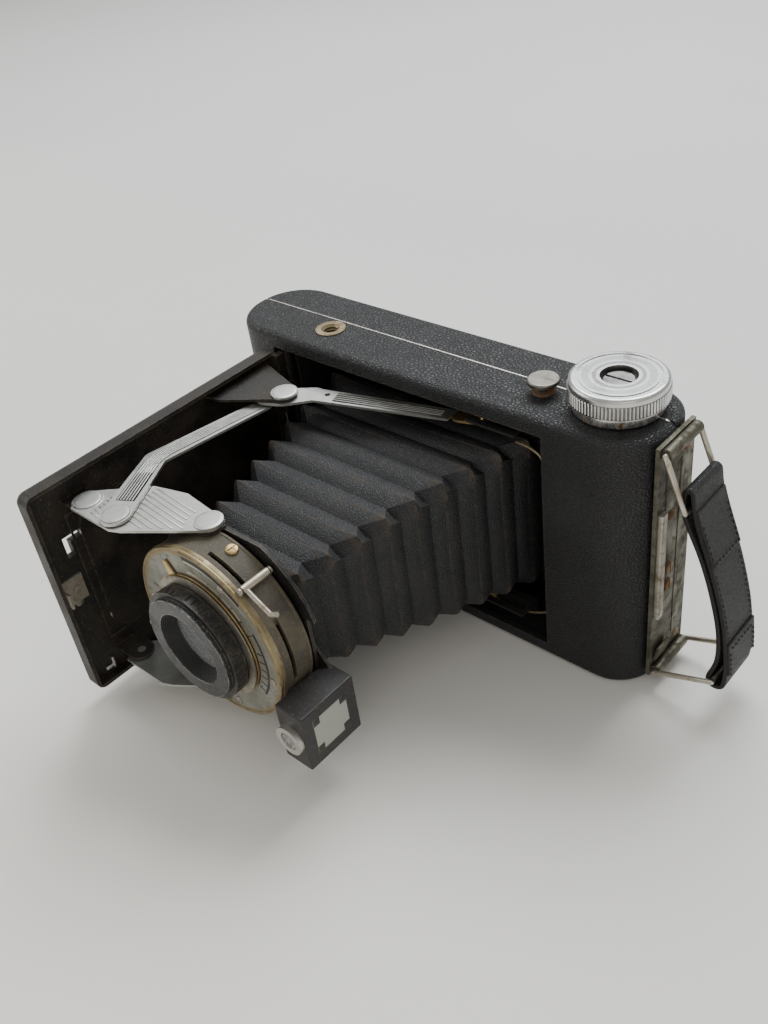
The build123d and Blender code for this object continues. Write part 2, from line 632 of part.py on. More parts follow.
# two blades on posts, turning apart to open
blade_t = 0.3
blade_y = drum_back - 7.4
blade_pin_inset = 6.3    # from the inside of the case to the blade posts
blade_pin = drum_r - case_wall - blade_pin_inset
for name, s in (("a", 1), ("b", -1)):
    y0 = blade_y - (0.7 if name == "a" else 0.0)
    pivot = (axis_x + s * blade_pin, axis_z)
    with BuildPart() as blade:
        with BuildSketch(Plane.XZ.offset(-y0)):
            with Locations((axis_x + s * 2.0, axis_z)):
                Circle(10.4)
            with Locations(pivot):
                Circle(2.4)
            make_hull()
        extrude(amount=blade_t)
        along_y(*pivot, 0.86, -big / 2, 0, Mode.SUBTRACT)
    save(blade.part, f"shutter_blade_{name}")
with BuildPart() as blade_plate:
    along_y(axis_x, axis_z, drum_r - case_wall - 0.05, drum_back - 6.9, drum_back - 6.3)
    along_y(axis_x, axis_z, cell_r - 1.0, -big / 2, 0, Mode.SUBTRACT)
    for s in (-1, 1):
        along_y(axis_x + s * blade_pin, axis_z, 0.8, drum_front + 1.4, drum_back - 6.6)
save(blade_plate.part, "blade_plate")

# ===================================================== focusing front cell
ridges = 48
with BuildPart() as focus_ring:
    along_y(axis_x, axis_z, focus_r, focus_front, mount_front - 0.35)
    along_y(axis_x, axis_z, cell_r + 1.4, -big / 2, 0, Mode.SUBTRACT)
    for i in range(ridges):
        a = radians(360.0 / ridges * i)
        along_y(axis_x + (focus_r + 0.25) * cos(a), axis_z + (focus_r + 0.25) * sin(a), 0.5,
                focus_front + 0.6, mount_front - 1.2, Mode.SUBTRACT)
save(focus_ring.part, "focus_ring")
with BuildPart() as front_ring:
    along_y(axis_x, axis_z, ring_r, ring_front, focus_front)
    along_y(axis_x, axis_z, cell_r + 1.4, focus_front, mount_front + 1.8)
    with Locations((axis_x, ring_front + 2.2, axis_z)):
        Cone(glass_r, bore_r, 4.4, rotation=(90, 0, 0), mode=Mode.SUBTRACT)
    along_y(axis_x, axis_z, glass_r, -big / 2, 0, Mode.SUBTRACT)
save(front_ring.part, "front_ring")
with BuildPart() as front_glass:
    along_y(axis_x, axis_z, glass_r, ring_front + 4.6, ring_front + 7.4)
save(front_glass.part, "front_glass")

# ===================================================== shutter controls
lever_y = drum_front - face_t - 0.3


def angle_point(r, deg):
    return axis_x + r * cos(radians(deg)), axis_z + r * sin(radians(deg))


with BuildPart() as aperture_pointer:
    along_y(axis_x, axis_z, mount_r + 2.8, lever_y - 0.5, lever_y)
    along_y(axis_x, axis_z, mount_r + 0.12, -big / 2, 0, Mode.SUBTRACT)
    tip_x, tip_z = angle_point(mount_r + 6.4, 118)
    root_x, root_z = angle_point(mount_r + 1.6, 118)
    with BuildSketch(Plane.XZ.offset(-lever_y)):
        with Locations((root_x, root_z)):
            Circle(1.7)
        with Locations((tip_x, tip_z)):
            Circle(0.8)
        make_hull()
    extrude(amount=0.5)
    along_y(axis_x, axis_z, mount_r + 0.12, -big / 2, 0, Mode.SUBTRACT)
save(aperture_pointer.part, "aperture_pointer")

# speed lever turning round the lens mount, its arm bent back over the rim
speed_a = 200
with BuildPart() as speed_lever:
    along_y(axis_x, axis_z, mount_r + 2.6, lever_y - 1.3, lever_y - 0.8)
    along_y(axis_x, axis_z, mount_r + 0.12, -big / 2, 0, Mode.SUBTRACT)
    root_x, root_z = angle_point(mount_r + 1.5, speed_a)
    tip_x, tip_z = angle_point(drum_r + 1.6, speed_a)
    with BuildSketch(Plane.XZ.offset(-lever_y + 0.8)):
        with Locations((root_x, root_z)):
            Circle(2.0)
        with Locations((tip_x, tip_z)):
            Circle(1.2)
        make_hull()
    extrude(amount=0.5)
    along_y(tip_x, tip_z, 1.2, lever_y - 1.3, lever_y + 3.0)
    along_y(axis_x, axis_z, mount_r + 0.12, -big / 2, 0, Mode.SUBTRACT)
save(speed_lever.part, "speed_lever")

# release lever: bent wire on a pivot screw on top of the case
wire_r = 0.7
lever_pivot = angle_point(drum_r + 1.4, 52)


def rod(points, r):
    """Round wire through the points, with a ball at every bend."""
    for p, q in zip(points, points[1:]):
        run = Vector(*q) - Vector(*p)
        with Locations(Plane(origin=Vector(*p) + run / 2, z_dir=run).location):
            Cylinder(r, run.length)
    for p in points[1:-1]:
        with Locations(p):
            Sphere(r)


px, pz = lever_pivot
with BuildPart() as release_lever:
    along_y(px, pz, 1.1, drum_front + 1.0, drum_back - 1.0)
    along_y(px, pz, 0.45, -big / 2, 0, Mode.SUBTRACT)
    rod(((px + 0.9, drum_front + 2.0, pz - 0.3), (px + 8.5, drum_front + 2.0, pz - 4.6),
         (px + 11.0, drum_front + 2.0, pz - 3.2)), wire_r)
save(release_lever.part, "release_lever")
with BuildPart() as lever_post:
    along_y(px, pz, 0.38, drum_front + 0.3, drum_back - 0.2)
    for y0 in (drum_front, drum_back - 0.6):
        with BuildSketch(Plane.XZ.offset(-y0 - 0.6)):
            with Locations((px, pz)):
                Circle(1.0)
            with Locations(angle_point(drum_r + 0.4, 52)):
                Circle(1.0)
            make_hull()
        extrude(amount=0.6)
    along_y(axis_x, axis_z, drum_r + 0.02, -big / 2, 0, Mode.SUBTRACT)
save(lever_post.part, "lever_post")

# ===================================================== waist-level finder on its pivot
finder_wall = 1.0
fx, fz = (finder_x0 + finder_x1) / 2, (finder_z0 + finder_z1) / 2
finder_lens_r = 3.6
with BuildPart() as finder_box:
    block(finder_x0, finder_x1, finder_y0, finder_y1, finder_z0, finder_z1)
    fillet(finder_box.edges(), 0.5)
    block(finder_x1 - 0.8, finder_x1 + 1, finder_y0 + 3.6, finder_y1 - 3.6,
          finder_z0 + 3.6, finder_z1 - 3.6, Mode.SUBTRACT)
    along_y(fx - 0.3, fz, finder_lens_r, finder_y0 - 1, finder_y0 + 1.2, Mode.SUBTRACT)
    ear_low = standard_y + 0.35
    with BuildSketch(Plane.XZ.offset(-ear_low - 0.8)):
        with Locations(finder_pivot):
            Circle(2.6)
        with Locations((finder_x0 + 2.5, finder_z1 - 3)):
            Circle(2.4)
        make_hull()
    extrude(amount=0.8)
    along_y(finder_pivot[0], finder_pivot[1], 1.1, standard_y - standard_t - 0.6, ear_low + 0.8)
    along_y(finder_pivot[0], finder_pivot[1], 1.9, standard_y - standard_t - 0.6,
            standard_y - standard_t - 0.35)
save(finder_box.part, "finder_box")
with BuildPart() as finder_ring:
    along_y(fx - 0.3, fz, finder_lens_r + 0.9, finder_y0 - 1.6, finder_y0)
    along_y(fx - 0.3, fz, finder_lens_r - 0.8, finder_y0 - 2, finder_y0 + 1, Mode.SUBTRACT)
save(finder_ring.part, "finder_ring")
with BuildPart() as finder_lens:
    along_y(fx - 0.3, fz, finder_lens_r - 0.85, finder_y0 - 1.0, finder_y0 + 1.1)
save(finder_lens.part, "finder_lens")
with BuildPart() as finder_window:
    block(finder_x1 - 0.75, finder_x1 - 0.1, finder_y0 + 3.65, finder_y1 - 3.65,
          finder_z0 + 3.65, finder_z1 - 3.65)
save(finder_window.part, "finder_window")

# ===================================================== winding knob and take-up spool
groove_w = 0.8
shaft_r = 1.9
spool_gap = 0.3          # between the flanges and the inside of the back
spool_r = body_back - wall - knob_y - spool_gap
with BuildPart() as knob:
    upright(knob_x, knob_y, skirt_r, body_h + skirt_gap, knob_low)
    upright(knob_x, knob_y, knob_r, knob_low, knob_top)
    fillet(knob.edges().filter_by(GeomType.CIRCLE).group_by(Axis.Z)[-1], 1.1)
    upright(knob_x, knob_y, 5.0, knob_top - 2.2, knob_top + 1, Mode.SUBTRACT)
    for r in (7.2, 9.0, 10.8):
        upright(knob_x, knob_y, r + groove_w / 2, knob_top - 0.25, knob_top, Mode.SUBTRACT)
        upright(knob_x, knob_y, r - groove_w / 2, knob_top - 0.25, knob_top)
    upright(knob_x, knob_y, 5.0, knob_top - 2.2, knob_top + 1, Mode.SUBTRACT)
    upright(knob_x, knob_y, shaft_r, body_h - 6.0, body_h + 1)
    block(knob_x - 3.0, knob_x + 3.0, knob_y - 0.6, knob_y + 0.6, body_h - 9.0, body_h - 5.0)
save(knob.part, "knob")
with BuildPart() as knob_screw:
    upright(knob_x, knob_y, 4.0, knob_top - 2.2, knob_top - 1.2)
    block(knob_x - 5, knob_x + 5, knob_y - 0.45, knob_y + 0.45, knob_top - 1.7, knob_top,
          Mode.SUBTRACT)
save(knob_screw.part, "knob_screw")
with BuildPart() as takeup_spool:
    spool_low, spool_high = 9.5, body_h - 9.5
    upright(knob_x, knob_y, 3.6, spool_low, spool_high)
    for z0 in (spool_low, spool_high - 0.8):
        upright(knob_x, knob_y, spool_r, z0, z0 + 0.8)
    upright(knob_x, knob_y, 3.2, spool_high - 3.2, spool_high + 1, Mode.SUBTRACT)
    upright(knob_x, knob_y, 3.2, spool_low - 1, spool_low + 3.2, Mode.SUBTRACT)
    upright(knob_x, knob_y, 3.6, spool_high + 0.5 - 1.0, spool_high)
    upright(knob_x, knob_y, 2.2, wall + 1, body_h, Mode.SUBTRACT)
    block(knob_x - 3.05, knob_x + 3.05, knob_y - 0.65, knob_y + 0.65, spool_high - 1.5, body_h,
          Mode.SUBTRACT)
    block(knob_x - 0.7, knob_x + 0.7, knob_y - 5, knob_y + 5, mid_z - 18, mid_z + 18, Mode.SUBTRACT)
save(takeup_spool.part, "takeup_spool")

# ===================================================== bed release button on the top
button_h = 4.2
with BuildPart() as release_button:
    upright(button_x, button_y, 1.3, body_h - wall - 1.2, body_h + button_h)
    upright(button_x, button_y, 4.5, body_h + button_h - 1.2, body_h + button_h)
    fillet(release_button.edges().filter_by(GeomType.CIRCLE).group_by(Axis.Z)[-1], 0.5)
    upright(button_x, button_y, 2.2, body_h - wall - 1.2, body_h - wall - 0.5)
save(release_button.part, "release_button")
with BuildPart() as button_washer:
    upright(button_x, button_y, 3.3, body_h, body_h + 0.7)
    upright(button_x, button_y, 1.3 + running, body_h - 1, body_h + 2, Mode.SUBTRACT)
save(button_washer.part, "button_washer")

# ===================================================== end plate, its latch and the carrying handle
end_t = 1.2
end_x = body_right
end_half = 9.2
end_low, end_high = 3.4, body_h - 2.0
roll_r = 1.7
roll_x = end_x + end_t + roll_r - 0.4
roll_high = end_high - roll_r
roll_low = end_low + roll_r
loop_r = 0.8
with BuildPart() as end_plate:
    block(end_x, end_x + end_t, -end_half, end_half, end_low, end_high)
    for z in (roll_high, roll_low):
        along_y(roll_x, z, roll_r, -end_half + 1.2, end_half - 1.2)
    for z in (roll_high, roll_low):
        along_y(roll_x, z, loop_r + 0.08, -big / 2, big / 2, Mode.SUBTRACT)
save(end_plate.part, "end_plate")
screw_y = -1.4
for name, z in (("upper", 39.5), ("lower", 33.5)):
    with BuildPart() as end_screw:
        with Locations((end_x + end_t + 0.35, screw_y, z)):
            Cylinder(1.9, 0.7, rotation=(0, 90, 0))
        block(end_x + end_t + 0.4, end_x + end_t + 2, screw_y - 0.3, screw_y + 0.3, z - 3, z + 3,
              Mode.SUBTRACT)
    save(end_screw.part, f"end_screw_{name}")
latch_y = -7.0
with BuildPart() as back_latch:
    block(end_x + end_t + 0.05, end_x + end_t + 1.45, latch_y - 1.4, latch_y + 1.4, 25.5, 62.0)
    fillet(back_latch.edges().filter_by(Axis.Z).group_by(Axis.X)[-1], 0.6)
save(back_latch.part, "back_latch")

loop_half = 8.8
upper_bar = (84.9, 66.0)
lower_bar = (96.2, 11.5)
for name, z, end in (("upper", roll_high, upper_bar), ("lower", roll_low, lower_bar)):
    with BuildPart() as loop:
        rod(((roll_x, 0, z), (roll_x, -loop_half, z), (end[0], -loop_half, end[1]),
             (end[0], loop_half, end[1]), (roll_x, loop_half, z), (roll_x, 0, z)), loop_r)
    save(loop.part, f"handle_loop_{name}")

strap_half = 7.6
strap_r = 1.7
fold_r = 2.5
path = ((84.9, 71.5), upper_bar, (89.4, 55.0), (93.4, 44.0), (96.6, 32.0), (98.9, 20.0),
        (99.4, 12.0), (96.8, 8.8), lower_bar)
radii = (1.9, fold_r, strap_r, strap_r, strap_r, strap_r, strap_r, 1.6, fold_r)
pieces = [bar(p, q, ra, rb) for p, q, ra, rb in zip(path, path[1:], radii, radii[1:])]
with BuildPart() as strap:
    with BuildSketch(Plane.XZ.offset(-strap_half)):
        for piece in pieces:
            add(piece)
    extrude(amount=2 * strap_half)
    for p in (upper_bar, lower_bar):
        along_y(*p, loop_r + 0.1, -big / 2, big / 2, Mode.SUBTRACT)
save(strap.part, "strap")
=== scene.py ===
# %% [markdown]
# # A folding roll-film camera, opened out
# The camera stands on one long side with its bed swung out to the left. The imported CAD
# model is the fixed frame: bodies, hinges and sizes come from it. This lesson adds what the
# frame leaves out: the creased bellows, the leather strap, pressed ribs, screws, knurling
# and, above all, finishes that look like leather, nickel, brass and old paint.

# %% Load the frame
import bpy
from math import atan2, cos, hypot, pi, radians, sin
from mathutils import Matrix, Vector


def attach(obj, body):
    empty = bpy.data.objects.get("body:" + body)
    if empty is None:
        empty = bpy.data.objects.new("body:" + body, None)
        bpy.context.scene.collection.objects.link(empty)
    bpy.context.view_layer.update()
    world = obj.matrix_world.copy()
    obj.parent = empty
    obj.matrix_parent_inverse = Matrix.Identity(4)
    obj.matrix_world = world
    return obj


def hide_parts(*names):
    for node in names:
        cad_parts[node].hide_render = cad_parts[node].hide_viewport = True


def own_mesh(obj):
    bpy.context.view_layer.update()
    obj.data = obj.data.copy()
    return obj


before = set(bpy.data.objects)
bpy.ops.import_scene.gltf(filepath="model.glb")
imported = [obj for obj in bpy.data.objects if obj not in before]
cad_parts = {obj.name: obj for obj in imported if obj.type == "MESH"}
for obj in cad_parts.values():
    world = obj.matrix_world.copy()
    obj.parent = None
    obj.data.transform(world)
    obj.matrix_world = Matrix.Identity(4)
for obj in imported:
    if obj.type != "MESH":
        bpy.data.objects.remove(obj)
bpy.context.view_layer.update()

# %% [markdown]
# ## Camera
# A hand-held view from the front right and above, tipped a little to one side. Placing it
# by azimuth, elevation and roll keeps each of the three easy to read, and the lens is a
# little longer than a normal one so that the near end of the bed isn't stretched.

# %% Camera
MM = 0.001
cam_data = bpy.data.cameras.new("view_camera")
cam_data.lens = 36.4
cam_data.sensor_width = 36.0
camera = bpy.data.objects.new("view_camera", cam_data)
bpy.context.scene.collection.objects.link(camera)
azimuth, elevation, roll = radians(46.34), radians(36.8), radians(-8.51)
back = Vector((sin(azimuth) * cos(elevation), -cos(azimuth) * cos(elevation), sin(elevation)))
level = Vector((cos(azimuth), sin(azimuth), 0))
upward = back.cross(level)
right = level * cos(roll) + upward * sin(roll)
above = upward * cos(roll) - level * sin(roll)
turn = Matrix((right, above, back)).transposed()
camera.matrix_world = Matrix.Translation(Vector((179.7, -203.3, 232.5)) * MM) @ turn.to_4x4()
bpy.context.scene.camera = camera
print("camera at", tuple(round(c, 3) for c in camera.location))

# %% [markdown]
# ## Table and light
# A white table with a faint mottling and painted light that grows brighter and warmer towards
# the viewer, a broad soft window behind and above the camera body, and a weak fill from the
# front. Soft, wide lights keep the leather readable, and the light from behind drops a short
# shadow towards the viewer.

# %% Light
def soft_light(name, place, aim, size, power, colour):
    data = bpy.data.lights.new(name, "AREA")
    data.shape = "RECTANGLE"
    data.size, data.size_y = size
    data.energy = power
    data.color = colour
    lamp = bpy.data.objects.new(name, data)
    lamp.location = place
    lamp.rotation_euler = (Vector(aim) - Vector(place)).to_track_quat("-Z", "Y").to_euler()
    bpy.context.scene.collection.objects.link(lamp)
    print("light", name, power, "W")


soft_light("window", (-0.25, 0.75, 1.15), (0, -0.02, 0.03), (1.1, 0.7), 21.0, (0.93, 0.97, 1.0))
soft_light("fill", (0.9, -0.9, 0.9), (0, 0, 0.04), (1.2, 1.2), 3.0, (1.0, 0.95, 0.88))
soft_light("left", (-1.1, -0.5, 0.7), (0, -0.12, 0.0), (0.9, 0.9), 5.0, (1.0, 0.98, 0.95))
world = bpy.data.worlds.new("room")
bpy.context.scene.world = world
world.use_nodes = True
world.node_tree.nodes["Background"].inputs["Color"].default_value = (1.0, 0.99, 0.965, 1)
world.node_tree.nodes["Background"].inputs["Strength"].default_value = 0.52

# %% [markdown]
# ## Node helpers
# Every finish is made from the same few steps: a noise or a cell pattern, a ramp that turns
# it into a mask, a mix of two colours, and a bump. Patterns read Object coordinates, which
# are metres on this frame, so a scale of 1000 repeats about once a millimetre.

# %% Node helpers
def new_finish(name, colour, metal=0.0, rough=0.5):
    mat = bpy.data.materials.new(name)
    mat.use_nodes = True
    tree = mat.node_tree
    shader = tree.nodes["Principled BSDF"]
    shader.inputs["Base Color"].default_value = (*colour, 1)
    shader.inputs["Metallic"].default_value = metal
    shader.inputs["Roughness"].default_value = rough
    place = tree.nodes.new("ShaderNodeTexCoord").outputs["Object"]
    return mat, tree, shader, place


def plug(tree, value, socket):
    if hasattr(value, "links"):
        tree.links.new(value, socket)
    else:
        socket.default_value = value


def stretched(tree, place, scale, turn_z=0.0):
    node = tree.nodes.new("ShaderNodeMapping")
    node.inputs["Scale"].default_value = scale
    node.inputs["Rotation"].default_value = (0, 0, turn_z)
    tree.links.new(place, node.inputs["Vector"])
    return node.outputs["Vector"]


def noise(tree, place, scale, detail=3.0, rough=0.55):
    node = tree.nodes.new("ShaderNodeTexNoise")
    node.inputs["Scale"].default_value = scale
    node.inputs["Detail"].default_value = detail
    node.inputs["Roughness"].default_value = rough
    tree.links.new(place, node.inputs["Vector"])
    return node.outputs["Fac"]


def cells(tree, place, scale, feature="DISTANCE_TO_EDGE"):
    node = tree.nodes.new("ShaderNodeTexVoronoi")
    node.feature = feature
    node.inputs["Scale"].default_value = scale
    tree.links.new(place, node.inputs["Vector"])
    return node.outputs["Distance"]


def mask(tree, value, low, high):
    """0 below low, 1 above high; the other way round when low is the larger."""
    node = tree.nodes.new("ShaderNodeMapRange")
    tree.links.new(value, node.inputs["Value"])
    node.inputs["From Min"].default_value = low
    node.inputs["From Max"].default_value = high
    return node.outputs["Result"]


def maths(tree, kind, a, b=0.0):
    node = tree.nodes.new("ShaderNodeMath")
    node.operation = kind
    plug(tree, a, node.inputs[0])
    plug(tree, b, node.inputs[1])
    return node.outputs["Value"]


def blend_colour(tree, share, a, b):
    node = tree.nodes.new("ShaderNodeMix")
    node.data_type = "RGBA"
    plug(tree, share, node.inputs["Factor"])
    plug(tree, a if hasattr(a, "links") else (*a, 1), node.inputs["A"])
    plug(tree, b if hasattr(b, "links") else (*b, 1), node.inputs["B"])
    return node.outputs["Result"]


def blend_value(tree, share, a, b):
    node = tree.nodes.new("ShaderNodeMix")
    plug(tree, share, node.inputs["Factor"])
    plug(tree, a, node.inputs["A"])
    plug(tree, b, node.inputs["B"])
    return node.outputs["Result"]


def raise_by(tree, shader, height, depth, strength=1.0):
    """Bump of the given depth in metres, added to any bump already there."""
    node = tree.nodes.new("ShaderNodeBump")
    node.inputs["Strength"].default_value = strength
    node.inputs["Distance"].default_value = depth
    tree.links.new(height, node.inputs["Height"])
    normal = shader.inputs["Normal"]
    if normal.is_linked:
        tree.links.new(normal.links[0].from_socket, node.inputs["Normal"])
    tree.links.new(node.outputs["Normal"], normal)


def parts_of(tree, place):
    node = tree.nodes.new("ShaderNodeSeparateXYZ")
    tree.links.new(place, node.inputs[0])
    return node.outputs["X"], node.outputs["Y"], node.outputs["Z"]


def rubbed_edges(tree, width, low=0.02, high=0.2):
    """Where the surface turns sharply within the width: edges that hands and cases rub."""
    soft = tree.nodes.new("ShaderNodeBevel")
    soft.samples = 4
    soft.inputs["Radius"].default_value = width
    true = tree.nodes.new("ShaderNodeNewGeometry")
    dot = tree.nodes.new("ShaderNodeVectorMath")
    dot.operation = "DOT_PRODUCT"
    tree.links.new(soft.outputs["Normal"], dot.inputs[0])
    tree.links.new(true.outputs["Normal"], dot.inputs[1])
    return mask(tree, maths(tree, "SUBTRACT", 1.0, dot.outputs["Value"]), low, high)


def round_axis(tree, place):
    """Distance from the lens axis."""
    x, _, z = parts_of(tree, place)
    dx = maths(tree, "ADD", x, 9 * MM)
    dz = maths(tree, "SUBTRACT", z, 42.5 * MM)
    square = maths(tree, "ADD", maths(tree, "MULTIPLY", dx, dx), maths(tree, "MULTIPLY", dz, dz))
    return maths(tree, "SQRT", square)


def dress(finish, *nodes):
    for n in nodes:
        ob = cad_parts[n]
        if not ob.material_slots:
            ob.data.materials.append(finish)
        for s in ob.material_slots:
            s.material = finish
    print(finish.name, "on", ", ".join(nodes))


# %% [markdown]
# ## The table
# A single large sheet. A very faint mottling keeps it from looking like a flat colour, and
# painted light makes it brighter and warmer towards the viewer, darker grey towards the back.

# %% Table
bpy.ops.object.select_all(action="DESELECT")
bpy.ops.mesh.primitive_plane_add(size=12)
table = bpy.context.object
table.name = "table_top"
table_paint, tree, shader, place = new_finish("table_paint", (0.8, 0.8, 0.79), 0.0, 0.55)
_, depth_y, _ = parts_of(tree, place)
# Painted light: the floor is painted brighter and warmer towards the viewer, darker grey at the back.
near_painted_light = mask(tree, depth_y, 0.25, -0.35)
mottle = mask(tree, noise(tree, place, 6.0), 0.3, 0.7)
# These mottled greys are also the painted darker shade at the back of the floor.
mottled_back_shade = blend_colour(tree, mottle, (0.72, 0.725, 0.70), (0.745, 0.75, 0.725))
plug(tree, blend_colour(tree, near_painted_light, mottled_back_shade, (0.98, 0.94, 0.865)), shader.inputs["Base Color"])
raise_by(tree, shader, noise(tree, place, 900.0), 0.00003, 0.3)
table.data.materials.append(table_paint)

# %% [markdown]
# ## Black grained leather
# The body is covered in thin black leather with a fine pebbled grain. Cells give the
# pebbles, drawn out sideways a little as on the real skin. Inside the shells there is only
# matt black paint, so the depth below the rounded outline tells outside from inside. Rubbed edges go
# brown.

# %% Leather
def leather(name, grain, depth, dark, dust, inner=False):
    mat, tree, shader, place = new_finish(name, dark, 0.0, 0.45)
    warped = stretched(tree, place, (1.0, 1.0, 1.5))
    pebble = mask(tree, cells(tree, warped, grain), 0.0, 0.22)
    fine = noise(tree, warped, grain * 2.2, 2.0)
    patches = mask(tree, noise(tree, place, 60.0, 4.0), 0.42, 0.72)
    worn = maths(tree, "MULTIPLY", rubbed_edges(tree, 0.0009), mask(tree, noise(tree, place, 420.0, 5.0), 0.36, 0.6))
    skin = blend_colour(tree, maths(tree, "MULTIPLY", patches, 0.5), dark, dust)
    skin = blend_colour(tree, maths(tree, "MULTIPLY", pebble, 0.25), skin, dust)
    skin = blend_colour(tree, maths(tree, "MULTIPLY", worn, 0.75), skin, (0.10, 0.065, 0.04))
    rough = blend_value(tree, pebble, 0.66, 0.40)
    height = maths(tree, "ADD", pebble, maths(tree, "MULTIPLY", fine, 0.35))
    raise_by(tree, shader, noise(tree, place, 45.0, 2.0), 0.0012, 0.35)
    raise_by(tree, shader, height, depth, 1.0)
    if inner:
        x, y, z = parts_of(tree, place)
        along = maths(tree, "ABSOLUTE", maths(tree, "ADD", x, 0.5 * MM))
        through = maths(tree, "ABSOLUTE", maths(tree, "ADD", y, 0.25 * MM))
        along = maths(tree, "MAXIMUM", maths(tree, "SUBTRACT", along, 62.7 * MM), 0.0)
        through = maths(tree, "MAXIMUM", maths(tree, "SUBTRACT", through, 1.75 * MM), 0.0)
        square = maths(tree, "ADD", maths(tree, "MULTIPLY", along, along), maths(tree, "MULTIPLY", through, through))
        inside = maths(tree, "LESS_THAN", maths(tree, "SQRT", square), 12.8 * MM)
        inside = maths(tree, "MULTIPLY", inside, maths(tree, "GREATER_THAN", z, 1.6 * MM))
        inside = maths(tree, "MULTIPLY", inside, maths(tree, "LESS_THAN", z, 83.4 * MM))
        skin = blend_colour(tree, inside, skin, (0.006, 0.006, 0.006))
        rough = blend_value(tree, inside, rough, 0.8)
    plug(tree, skin, shader.inputs["Base Color"])
    plug(tree, rough, shader.inputs["Roughness"])
    return mat


body_leather = leather("body_leather_finish", 950.0, 0.00017, (0.005, 0.005, 0.0055), (0.017, 0.0175, 0.019), True)
bed_skin_leather = leather("bed_leather_finish", 950.0, 0.00017, (0.005, 0.005, 0.0055), (0.017, 0.0175, 0.019))
strap_leather = leather("strap_leather_finish", 1500.0, 0.00014, (0.003, 0.0028, 0.0025), (0.009, 0.0085, 0.0078))
dress(body_leather, "front_shell", "back_shell")
dress(bed_skin_leather, "bed_leather")

# %% [markdown]
# ## Nickel, brass and rust
# Old nickel plate is never one colour: it dulls in clouds, keeps hair scratches and lets
# brown spots through. One function makes all the plated finishes; each use sets how yellow,
# how dull and how spotted it is.

# %% Metals
def plated(name, bright, dull, rough, spots=0.0, spot_colour=(0.13, 0.075, 0.035),
           scratch_turn=0.3):
    mat, tree, shader, place = new_finish(name, bright, 1.0, rough)
    clouds = mask(tree, noise(tree, place, 130.0, 5.0), 0.35, 0.68)
    fine = noise(tree, place, 1300.0, 3.0)
    hair = noise(tree, stretched(tree, place, (1.0, 14.0, 14.0), scratch_turn), 300.0, 2.0)
    colour = blend_colour(tree, clouds, bright, dull)
    rust = mask(tree, noise(tree, place, 330.0, 6.0, 0.7), 0.62 - spots * 0.35, 0.72 - spots * 0.3)
    rust = maths(tree, "MULTIPLY", rust, min(1.0, 0.4 + spots))
    colour = blend_colour(tree, rust, colour, spot_colour)
    plug(tree, colour, shader.inputs["Base Color"])
    worn = blend_value(tree, clouds, rough, min(1.0, rough + 0.2))
    worn = maths(tree, "ADD", worn, maths(tree, "MULTIPLY", mask(tree, hair, 0.35, 0.75), 0.12))
    plug(tree, blend_value(tree, rust, worn, 0.85), shader.inputs["Roughness"])
    plug(tree, maths(tree, "SUBTRACT", 1.0, maths(tree, "MULTIPLY", rust, 0.8)),
         shader.inputs["Metallic"])
    raise_by(tree, shader, hair, 0.00002, 0.4)
    raise_by(tree, shader, fine, 0.00002, 0.4)
    return mat


nickel = plated("nickel_finish", (0.72, 0.70, 0.66), (0.52, 0.50, 0.46), 0.22, 0.02)
strut_nickel = plated("strut_nickel_finish", (0.60, 0.60, 0.57), (0.46, 0.46, 0.43), 0.34, 0.08,
                      (0.2, 0.17, 0.12))
old_nickel = plated("old_nickel_finish", (0.50, 0.47, 0.41), (0.30, 0.27, 0.22), 0.36, 0.25)
wire_nickel = plated("wire_nickel_finish", (0.60, 0.56, 0.48), (0.42, 0.36, 0.27), 0.26, 0.15)
brass = plated("brass_finish", (0.66, 0.50, 0.25), (0.40, 0.29, 0.14), 0.3, 0.12)
old_brass = plated("old_brass_finish", (0.36, 0.30, 0.19), (0.20, 0.155, 0.09), 0.42, 0.25)
rusty_steel = plated("rusty_steel_finish", (0.34, 0.29, 0.23), (0.2, 0.14, 0.09), 0.45, 0.55,
                     (0.22, 0.10, 0.035))
dark_steel = plated("dark_steel_finish", (0.11, 0.11, 0.115), (0.07, 0.068, 0.07), 0.35, 0.05)
dress(nickel, "seam_strip", "film_roller_left", "film_roller_right", "finder_ring", "window_cover")
dress(strut_nickel, "brace_upper", "brace_lower", "link_upper", "link_lower", "plate_upper",
      "plate_lower")
dress(old_brass, "tripod_bush")
dress(brass, "aperture_pointer", "brace_tip_upper", "brace_tip_lower")
dress(old_nickel, "back_latch", "bed_foot", "bed_catch", "speed_lever", "lever_post")
dress(wire_nickel, "handle_loop_upper", "handle_loop_lower", "release_lever")
tarnished = plated("tarnished_finish", (0.20, 0.192, 0.155), (0.09, 0.083, 0.06), 0.42, 0.35,
                   (0.05, 0.037, 0.02))
button_steel = plated("button_finish", (0.26, 0.25, 0.22), (0.13, 0.12, 0.10), 0.26, 0.2)
dress(tarnished, "end_plate")
dress(rusty_steel, "end_screw_upper", "end_screw_lower", "button_washer")
dress(button_steel, "release_button")
dress(dark_steel, "iris", "shutter_blade_a", "shutter_blade_b", "pressure_plate")

# %% [markdown]
# ## The knob and the shutter face
# Both are bright metal whose finish changes with the distance from an axis or with height:
# the knob's skirt has rusted where damp sat under it, and the rim of the shutter face has
# lost its plate and shows brass. Two masks on the coordinates do that.

